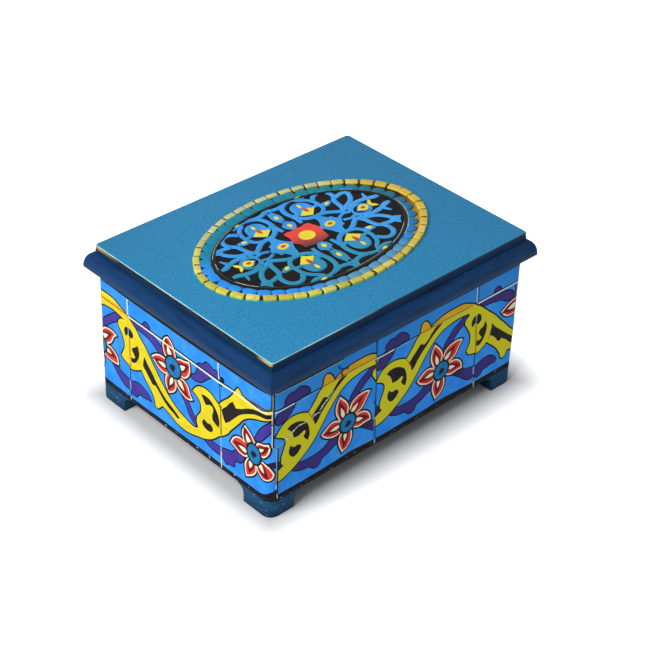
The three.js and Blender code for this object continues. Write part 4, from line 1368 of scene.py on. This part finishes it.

# %% [markdown]
# The rim is a black rounded bead round a black field, with a few painted highlights on its crest. A bead
# could be a bent cylinder, but a curve with a bevel is one already, and it follows any line drawn by hand.
# Scaling the tube down in height flattens it, and its lower half sinks into the field. The highlights on
# the crest, and a pale painted sheen on its outer side at the front right, are thin bands of their own.

# %% Rim and field
rim_paint = paint("rim_paint", (18, 16, 17), (30, 27, 27), 0.25, 90, gloss=0.1)
field_paint = paint("field_paint", (17, 15, 17), (28, 25, 26), 0.5, 90, bump=0.25, gloss=0.06)
# painted highlights for the crest of the rim, and a painted sheen for its outer side
rim_painted_highlight = paint("rim_painted_highlight", (196, 206, 200), (120, 124, 120), 0.3, 400)
rim_sheen = paint("rim_sheen", (150, 192, 190), (84, 140, 146), 0.3, 300)
rim_centre = Vector((-3.3, -1.5))
rim_long, rim_short = 66.1, 40.8
field_bottom, field_top = lid_top + 0.2, lid_top + 2.1
rim_bed_top = lid_top + 1.95
bead_half, bead_rise, bead_height = 1.55, 2.0, 0.75
crest_rise, crest_height = 2.62, 0.14
# how far out each painted highlight lies as a share of the rim, its two angles and its half width
crest_highlights = [(1.004, 116, 153, 0.26), (0.984, 160, 168, 0.26), (0.984, 190, 208, 0.22),
                (0.982, 300, 324, 0.24)]
arc_points = 12


def band(material, points, half, rise, half_height, closed=False):
    """A flattened tube through smooth points, on the lid board. A point's third value scales its width."""
    curve = bpy.data.curves.new("band", "CURVE")
    curve.dimensions = "3D"
    curve.bevel_depth = half * mm
    curve.bevel_resolution = 2
    curve.resolution_u = smoothness
    curve.use_fill_caps = True
    for knot, point in add_spline(curve, points, closed):
        knot.radius = point[2] if len(point) > 2 else 1.0
    shape = as_bmesh(curve)
    bmesh.ops.scale(shape, vec=(1, 1, half_height / half), verts=shape.verts)
    bmesh.ops.translate(shape, vec=(0, 0, (lid_top + rise) * mm), verts=shape.verts)
    bmesh.ops.recalc_face_normals(shape, faces=shape.faces)
    for face in shape.faces:
        face.smooth = True
    relief.take(shape, material)


def rim_arc(long_half, short_half, begin, end):
    """Points of an ellipse round the middle of the rim, between two angles in degrees."""
    cx, cy = rim_centre
    angles = [math.radians(begin + (end - begin) * i / (arc_points - 1)) for i in range(arc_points)]
    return [(cx + long_half * math.cos(a), cy + short_half * math.sin(a)) for a in angles]


rim_bed = oval(*rim_centre, 67.2, 42, oval_points)
field = oval(*rim_centre, 65.6, 40.2, oval_points)
flat(relief, rim_bed, rim_paint, rim_bed_top, bottom=field_bottom)
flat(relief, field, field_paint, field_top, bottom=field_bottom)
band(rim_paint, oval(*rim_centre, rim_long, rim_short, oval_points), bead_half, bead_rise, bead_height,
     closed=True)
for reach, begin, end, half in crest_highlights:
    crest = rim_arc(rim_long * reach, rim_short * reach, begin, end)
    band(rim_painted_highlight, crest, half, crest_rise, crest_height)
band(rim_painted_highlight, rim_arc(63.6, 39.2, 262, 298), half=0.16, rise=2.3, half_height=0.1)
band(rim_sheen, rim_arc(67.9, 42.6, 312, 358), half=0.5, rise=2.1, half_height=0.3)
print("rim and field laid")

# %% [markdown]
# A blue network of bands fills the field, the same in all four quarters, as an arabesque is. A Mirror
# modifier would repeat it exactly, but the cast one isn't exact: it sits turned a little, the front half is
# squeezed and the left end is drawn out. So the points themselves are mirrored, with those three faults.

# %% Mirroring the drawing
middle = Vector((-3.9, 1.6))
true_shift = Vector((0.3, 0.3))
tilt = Matrix.Rotation(0.021, 2)
front_squeeze, half_depth = 0.1, 39
left_stretch, half_span = 0.04, 62


def mirrored(points, sx, sy):
    """The points mirrored about the two axes of the drawing, where sx or sy is -1."""
    out = []
    for point in points:
        local = tilt.transposed() @ (Vector(point[:2]) - middle)
        if sy < 0:
            local.y *= 1 - front_squeeze * (local.y / half_depth) ** 2
        if sx < 0:
            local.x *= 1 + left_stretch * (local.x / half_span) ** 4
        spot = tilt @ Vector((local.x * sx, local.y * sy)) + middle + true_shift
        out.append((spot.x, spot.y, *point[2:]))
    return out if sx * sy > 0 else out[::-1]


def in_quarters(points):
    """The points as drawn, and mirrored to the other three quarters."""
    return [mirrored(points, sx, sy) for sx, sy in ((1, 1), (-1, 1), (1, -1), (-1, -1))]


def left_and_right(points):
    """For shapes on the long axis: as drawn, and mirrored end for end."""
    return [mirrored(points, sx, 1) for sx in (1, -1)]


def front_and_back(points):
    """For shapes on the short axis: as drawn, and mirrored across the long axis."""
    return [mirrored(points, 1, sy) for sy in (1, -1)]


for copy in in_quarters([(-40, -4)]):
    print("a point and its mirror images:", [round(c, 1) for c in copy[0]])

# %% [markdown]
# The network itself is made of flattened tubes like the rim, thick in the middle of a stroke and thin at a
# tip. Each band is a row of points down its middle and half a width, so that a stroke can be moved by one
# point. Cutting the network from one sheet would give it flat tops, and the light on the round ones tells
# it is cast.

# %% Network
net_paint = paint("network_paint", (54, 160, 240), (40, 142, 216), 0.4, 110, bump=0.3, gloss=0.2,
                  fades=(((0.35, 1, 0), -2, -26, (34, 140, 172), 0.85),
                         ((1, 0, 0), 20, 52, (76, 176, 250), 0.7)))
band_swell, band_height, band_rise = 1.16, 0.42, 2.1
bands = [
    ([(-40, -4), (-36, -6), (-31.5, -9), (-27, -10.8), (-22, -10.8), (-17, -12.3), (-13.3, -16),
      (-11.2, -21), (-10.8, -27), (-12.5, -32.5), (-16.5, -36), (-22, -37.3, 0.7)], 1.55),
    ([(-11.2, -22), (-11.6, -16), (-11, -10.6, 0.8)], 1.4),
    ([(-27, -11), (-30.5, -13), (-32.4, -16), (-32.8, -20), (-32, -26), (-29.5, -30.5), (-26, -33.5),
      (-24.2, -36.8)], 1.3),
    ([(-33, -20), (-28, -20.2)], 1.2),
    ([(-17, -19.2), (-11.4, -19.6)], 1.3),
    ([(-27, -20.5), (-26.4, -25.5), (-24.2, -28.6), (-21, -29.4), (-17.8, -28), (-16.4, -24),
      (-16.8, -20.5)], 1.6),
    ([(-35.6, -36.2, 0.4), (-31, -35.4), (-26, -36.4), (-21, -38, 0.9)], 1.5),
    ([(-16, -36), (-12, -35), (-8, -35.4), (-4.4, -36.8)], 1.5),
    ([(-33, -26.5), (-36, -30.2), (-40, -31.6), (-44, -29.8), (-46, -25.5), (-45.2, -20.5),
      (-42.8, -17.6), (-41.8, -13), (-41, -8), (-38.6, -4.6)], 1.5),
    ([(-40.6, -18.6, 0.6), (-36.6, -17.4, 1.3), (-33, -18)], 1.7),
    ([(-40, -5), (-44, -7.5), (-49, -10), (-52.6, -14), (-54.2, -18), (-55, -23.5, 0.6)], 1.5),
    ([(-59, -20.2, 0.4), (-55, -20.6, 1.2), (-50, -20.8), (-45.4, -19.4)], 1.5),
    ([(-44.4, -5.8), (-52, -7), (-58, -6.2), (-62.5, -4.6, 1.1), (-65.6, -4.4, 0.7)], 1.6),
    ([(-58.4, -7), (-60.2, -12.4, 0.4)], 1.3),
    ([(-44, -5.6), (-41.5, -1.8), (-37, -2.5), (-32, -0.6)], 1.05),
    ([(-55, -0.9, 0.4), (-52, -3.6, 0.8), (-47, -4), (-43, -1.6), (-42, 1.2)], 0.75)]
for points, half in bands:
    for copy in in_quarters(points):
        band(net_paint, copy, half * band_swell, band_rise, band_height)
print(len(bands), "bands in each quarter")

# %% [markdown]
# Where bands meet, the cast plaque has solid plates: leaves on the long axis and a column of buds on the
# short. They are outlines filled to a low height, a little under the crests of the bands, so that each
# band's edge still shows on them. A row of the table says how the plate is copied, its outline and how high
# it stands.

# %% Plates of the network
left_leaf = [
    (-20.4, 12, 1), (-20.2, 9), (-18.4, 5.4), (-15.6, 1.4), (-17, -1), (-18.6, -4.4), (-19.6, -7.6),
    (-20.6, -11, 1), (-24.4, -10.4, 1), (-25.6, -6.4), (-27, -4.6), (-29, -4.6), (-29.6, -2), (-32, 1.2),
    (-29.6, 4.6), (-29, 6.8), (-27.2, 7.2), (-25.8, 9), (-24.4, 12, 1)]
top_bud = [
    (-4, -8.4), (-7.6, -11.4), (-8.4, -15.2, 1), (-6.4, -16.6), (-4.8, -18.8), (-2.4, -18.8), (-1.4, -16.6),
    (0.6, -15.2, 1), (-0.2, -11.4)]
long_bud = [
    (-3.8, -18), (-6.4, -22), (-7, -26), (-6, -30.6), (-4.6, -34.4), (-2.8, -34.4), (-1.2, -30.6),
    (-0.4, -26), (-1.2, -22)]
foot_bud = [
    (-4.8, -33.5), (-6.4, -36.4), (-6, -39), (-4.8, -41), (-2.4, -41), (-1, -39), (-0.6, -36.4),
    (-2.6, -33.5)]
shield = [(-28.6, -19.4, 1), (-22, -12.6, 1), (-15.4, -17.4, 1), (-17, -26), (-22, -29), (-27, -26)]
knot_plate = [(-36.5, -19.6), (-39.6, -18.6, 1), (-37, -15.3), (-33.4, -15.6), (-32.6, -18.6)]
end_plate = [(-56.6, -22.6), (-59.4, -20.4, 1), (-54.6, -17.4), (-52, -19.6), (-54.4, -26, 1)]
eye_plate = [(-54.2, 0.8), (-50.4, -2.4), (-45.2, 0.8, 1), (-50.4, 4)]
plates = [
    (left_and_right, left_leaf, 0.32, 0),
    (front_and_back, top_bud, 0.3, 0),
    (front_and_back, long_bud, 0.3, 0),
    (front_and_back, foot_bud, 0.3, 0),
    (in_quarters, shield, 0.2, 0),
    (in_quarters, knot_plate, 0.22, 0),
    (in_quarters, end_plate, 0.22, 0),
    (left_and_right, eye_plate, 0.2, 0.5)]
socket_depth = 0.2


def gem(copies, material, rise, grow=0.0):
    """Lays a stone or a plate on the field, once for each copy of its outline."""
    for loop in copies:
        flat(relief, loop, material, field_top + rise, grow=grow, bottom=field_top - socket_depth)


for copies, loop, rise, grow in plates:
    gem(copies(loop), net_paint, rise, grow)
print(len(plates), "plates before mirroring")

# %% [markdown]
# Yellow stones with red hearts sit on the plates. They are painted plaster, with flat tops and sharp
# outlines. Real stones would need glass and facets, and these only need to stand a little higher than what
# carries them. The table has the copies, the outline, the colour and the height of each kind of stone.

# %% Stones
gem_gold = paint("relief_yellow", (242, 230, 52), (248, 208, 48), 0.4, 130, bump=0.3, gloss=0.2)
gem_red = paint("relief_red", (214, 84, 44), (150, 56, 30), 0.4, 130, bump=0.3, gloss=0.2)
gold_rise, red_rise, berry_rise = 0.44, 0.52, 0.6
berry_rows = ((1, -38.3), (-1, -36.6))
fan = [(-28, -18.8, 1), (-22, -13, 1), (-15.8, -17.2, 1), (-22, -22.6, 1)]
fan_point = [(-21.8, -23.8, 1), (-22.8, -26.4), (-21.8, -29.2, 1), (-20.8, -26.4)]
end_eye = [(-53.8, 0.8, 1), (-50.4, -2.3), (-45.4, 0.8, 1), (-50.4, 3.9)]
tail = [(-54.8, 0.8, 1), (-55.6, 3.4), (-58, 5, 1), (-57.6, 2.6), (-56.4, 0.8, 1), (-57.8, -1),
        (-58.4, -3.4, 1), (-55.8, -1.8)]
stones = [
    (in_quarters, fan, gem_gold, gold_rise),
    (in_quarters, drop((-22, -16.6), (-22, -22.9), 1.35), gem_red, 0.5),
    (in_quarters, fan_point, gem_gold, gold_rise),
    (in_quarters, oval(-36.6, -17.2, 1.7, 1.2, 8, 0.5), gem_gold, 0.66),
    (left_and_right, oval(-22.7, 1.4, 3.7, 2.7, 10), gem_gold, gold_rise),
    (left_and_right, oval(-22.8, 1.4, 1.8, 1.1, 8), gem_red, red_rise),
    (left_and_right, end_eye, gem_gold, gold_rise),
    (left_and_right, oval(-49.6, 0.8, 1.5, 1.2, 8), gem_red, red_rise),
    (left_and_right, tail, gem_gold, gold_rise),
    (front_and_back, oval(-3.9, -12.9, 1.4, 1.9, 8), gem_gold, gold_rise),
    (front_and_back, oval(-3.9, -25.2, 1.25, 2.1, 8), gem_gold, gold_rise)]
for copies, loop, material, rise in stones:
    gem(copies(loop), material, rise)
for sy, y in berry_rows:
    berry = [(-30, y, 1), (-27.6, y + 0.8), (-25.2, y - 0.2, 1), (-27.6, y - 1)]
    gem([mirrored(berry, sx, sy) for sx in (1, -1)], gem_gold, berry_rise)
print(len(stones), "kinds of stones and two of berries")

# %% [markdown]
# In the middle sits a red rosette with a yellow boss. Its outline is uneven and isn't mirrored, so it is
# drawn whole. Towards the front it is a darker red, painted shade on its front half, which one fade of its
# paint gives. With it the plaque is complete, and the whole relief becomes one object on the lid.

# %% Rosette
# the fade darkens the front half of the rosette: painted shade
rosette_paint = paint("rosette_paint", (246, 74, 62), (224, 64, 58), 0.4, 60, bump=0.3, gloss=0.2,
                      fades=(((0.25, 0.96, 0), 3, -8, (100, 50, 52), 0.95),))
rosette = [
    (-14, 10.5, 1), (-12, 11.3), (-8, 10.6), (-5, 11.7), (-1, 10.7), (3, 11.5), (5.6, 11, 1), (6.6, 8),
    (8, 3), (7, 0), (6, -4), (5.5, -7.2, 1), (2, -8), (-4, -8.9), (-9, -8), (-13.2, -7.4, 1),
    (-13.5, -3), (-15.5, 1.5), (-14, 5)]
rosette_rise, boss_rise = 0.4, 0.55
shifted = [(x + true_shift.x, y + true_shift.y, *kind) for x, y, *kind in rosette]
gem([shifted], rosette_paint, rosette_rise)
gem([oval(-3.7, 1.8, 5.3, 4.6)], gem_gold, boss_rise)
finished(relief.bm, relief.materials, "oval_relief", "lid", "lid_medallion")

# %% [markdown]
# Such boxes are lined with thin felt, one sheet on the floor and one under the lid. Hair particles would
# give a deep pile, but felt this thin shows only a dull, uneven nap. So a fine grid is extruded to the
# sheet's thickness, and the side that shows sinks a little along a noise. Sheen on the paint brightens it
# where it is seen at a low angle, as fibres do.

# %% Felt
felt_paint = paint("felt_nap", (28, 46, 86), (20, 34, 70), 0.95, 700, bump=1.0, sheen=0.6)
nap_depth, nap_scale = 0.1, 400
felt_cells = (70, 54)


def felt(name, node, body):
    """A felt sheet in the place of its CAD node, with its nap on the side that shows."""
    low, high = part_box(node)
    size = high - low
    half_way = (low + high) / 2
    bm = bmesh.new()
    bmesh.ops.create_grid(bm, x_segments=felt_cells[0], y_segments=felt_cells[1], size=0.5)
    bmesh.ops.scale(bm, vec=(size.x, size.y, 1), verts=bm.verts)
    made = bmesh.ops.extrude_face_region(bm, geom=bm.faces[:])
    top = [v for v in made["geom"] if isinstance(v, bmesh.types.BMVert)]
    bmesh.ops.translate(bm, vec=(0, 0, size.z), verts=top)
    bmesh.ops.translate(bm, vec=(half_way.x, half_way.y, low.z), verts=bm.verts)
    facing = 1 if body == "box" else -1
    for v in bm.verts:
        if (v.co.z - half_way.z) * facing > 0:
            v.co.z -= facing * nap_depth * (1 + noise.noise(v.co * nap_scale)) * mm
    bmesh.ops.recalc_face_normals(bm, faces=bm.faces)
    piece = finished(bm, [felt_paint], name, body, node)


felt("floor_felt_nap", "floor_felt", "box")
felt("lid_felt_nap", "lid_felt", "lid")

# %% [markdown]
# Two small brass butt hinges carry the lid at the back. Their leaves, pins and screws come from the CAD.
# They are dressed like the boards, with finer edges. Satin brass is a metal, so its colour is in its
# reflections: the Metallic input says that, and a plain yellow paint could not.

# %% Hinges
brass = paint("brass_satin", (196, 158, 88), (176, 136, 66), 0.28, 200, (1, 1, 6), 0.15, metal=1.0)
hinge_parts = {"wall_leaf": "box", "lid_leaf": "lid", "pin": "box", "wall_screw_outer": "box",
               "wall_screw_inner": "box", "lid_screw_outer": "lid", "lid_screw_inner": "lid"}
for hinge in ("hinge_left", "hinge_right"):
    for part, body in hinge_parts.items():
        dress(hinge + "_" + part, [brass], body, width=0.08, segments=1)

# %% [markdown]
# A product photo shows its white ground whiter than any lit paper. Blender can do that too, because each
# ray of light knows where it comes from. The helpers here ask two things: whether a ray is one that the
# camera sees, and how far a spot of the floor lies from the box. Painting the glow on an image would be the
# other way, but it would have to be painted again for a box of another size.

# %% Helpers for the ground


def larger(owner, first, second):
    """The larger one of two numbers or outputs."""
    return add_node(owner, "ShaderNodeMath", first, second, operation="MAXIMUM").outputs[0]


def times(owner, first, second):
    """The product of two numbers or outputs."""
    return add_node(owner, "ShaderNodeMath", first, second, operation="MULTIPLY").outputs[0]


def plain_view(owner):
    """One for what the camera sees: directly, through something clear or mirrored in something."""
    rays = add_node(owner, "ShaderNodeLightPath").outputs
    seen = larger(owner, rays["Is Camera Ray"], rays["Is Transmission Ray"])
    return larger(owner, seen, rays["Is Glossy Ray"])


def from_the_box(owner):
    """The distance from the outline of the box, worked out from object coordinates, in metres."""
    place = add_node(owner, "ShaderNodeTexCoord").outputs["Object"]
    folded = add_node(owner, "ShaderNodeVectorMath", place, operation="ABSOLUTE").outputs[0]
    edge = (half_length * mm, half_width * mm, 0)
    beyond = add_node(owner, "ShaderNodeVectorMath", folded, edge, operation="SUBTRACT").outputs[0]
    outside = add_node(owner, "ShaderNodeVectorMath", beyond, (0, 0, 0), operation="MAXIMUM").outputs[0]
    return add_node(owner, "ShaderNodeVectorMath", outside, operation="LENGTH").outputs["Value"]


print("the glow starts", round(half_length), "and", round(half_width), "mm from the middle of the box")

# %% [markdown]
# The photo was taken on white, with the box standing in its own faint shadow. A white floor alone would
# show grey, because it gets less light than it shows. So the floor also glows for the camera, and the glow
# fades to nothing towards the box, which leaves a grey band round its foot: painted shade over the real
# shadow there. Mirrored rays see only part of that glow, or the dark paint of the feet and the rim would
# look veiled.

# %% Floor
floor_size = 8
floor_shown, floor_grey = (216, 217, 218), (0.5, 0.5, 0.5, 1)
floor_roughness = 0.9
glow_width = 0.03
mirrored_share = 0.3
white = bpy.data.materials.new("floor_white")
white.use_nodes = True
dull = white.node_tree.nodes["Principled BSDF"]
dull.inputs["Roughness"].default_value = floor_roughness
seen = plain_view(white)
link(white, blend_in(white, floor_grey, seen, linear(floor_shown)), dull.inputs["Base Color"])
camera_rays = add_node(white, "ShaderNodeLightPath").outputs["Is Camera Ray"]
full_glow = larger(white, camera_rays, times(white, seen, mirrored_share))
# the glow is nothing at the box's outline, so a band round the box stays grey: painted shade as well as
# real shadow
glow_strength = times(white, ramp_between(white, from_the_box(white), 0.0, glow_width), full_glow)
glow = add_node(white, "ShaderNodeEmission", (1, 1, 1, 1), glow_strength)
both = add_node(white, "ShaderNodeAddShader", dull.outputs[0], glow.outputs[0])
link(white, both.outputs[0], white.node_tree.nodes["Material Output"].inputs[0])

bpy.ops.mesh.primitive_plane_add(size=floor_size)
floor = bpy.context.object
floor.name = "floor"
floor.data.materials.append(white)
print("floor laid, glow grows over", round(glow_width / mm), "mm")

# %% [markdown]
# One large soft lamp at the left lights the end wall, and a low wide one from the front fills the long
# wall. A sun lamp would give hard shadows, which the photo doesn't have. The surroundings are white to the
# camera and in reflections, but they light the box only weakly, so that the relief keeps its shadows.

# %% Lamps and surroundings
look_at = Vector((0, 0, 0.05))
soft_tint, soft_strength = (0.96, 0.98, 1, 1), 0.32


def lamp(name, place, width, height, power):
    """An area lamp that looks at the middle of the box."""
    data = bpy.data.lights.new(name, "AREA")
    data.shape = "RECTANGLE"
    data.size = width
    data.size_y = height
    data.energy = power
    made = bpy.data.objects.new(name, data)
    made.location = place
    made.rotation_euler = (look_at - Vector(place)).to_track_quat("-Z", "Y").to_euler()
    bpy.context.scene.collection.objects.link(made)


lamp("key", (-1.4, -0.02, 1.25), width=1.1, height=1.1, power=33)
lamp("fill", (0.45, -1.95, 0.12), width=1.2, height=0.16, power=6.6)
world = bpy.data.worlds.new("surround")
bpy.context.scene.world = world
world.use_nodes = True
world.node_tree.nodes.clear()
shown_white = add_node(world, "ShaderNodeBackground", (1, 1, 1, 1), 1.0).outputs[0]
soft_light = add_node(world, "ShaderNodeBackground", soft_tint, soft_strength).outputs[0]
chosen = add_node(world, "ShaderNodeMixShader", plain_view(world), soft_light, shown_white).outputs[0]
add_node(world, "ShaderNodeOutputWorld", chosen)
print(len(bpy.data.lights), "lamps and a white room")

# %% [markdown]
# The camera stands where the photographer's did. Its angles, its distance and its focal length were worked
# out from the straight edges of the box in the photo, so the render can be laid over the photo. It could be
# aimed with a Track To constraint, but a picture that is turned by two degrees needs its own roll.

# %% Camera
azimuth, elevation, roll = (math.radians(a) for a in (-44.373, 35.119, 2.186))
target = Vector((24.304, 12.7, 28.7))
distance = 1092.608
focal_pixels, picture_pixels, sensor = 1759.865, 650, 36
back = Vector((math.sin(azimuth) * math.cos(elevation), -math.cos(azimuth) * math.cos(elevation),
               math.sin(elevation)))
right = Vector((math.cos(azimuth), math.sin(azimuth), 0))
up = back.cross(right)
turned_right = right * math.cos(roll) + up * math.sin(roll)
turned_up = up * math.cos(roll) - right * math.sin(roll)
view = Matrix((turned_right, turned_up, back)).transposed().to_4x4()
view.translation = (target + back * distance) * mm
camera_data = bpy.data.cameras.new("camera")
camera_data.sensor_width = sensor
camera_data.lens = focal_pixels / picture_pixels * sensor
camera = bpy.data.objects.new("camera", camera_data)
bpy.context.scene.collection.objects.link(camera)
camera.matrix_world = view
bpy.context.scene.camera = camera
bpy.context.scene.view_settings.view_transform = "Standard"
print("camera", [round(c, 3) for c in camera.matrix_world.translation], "lens", round(camera_data.lens, 2))

# %% [markdown]
# The dressed box has to keep the size of its CAD frame, and a swollen edge or a high stone would break
# that.
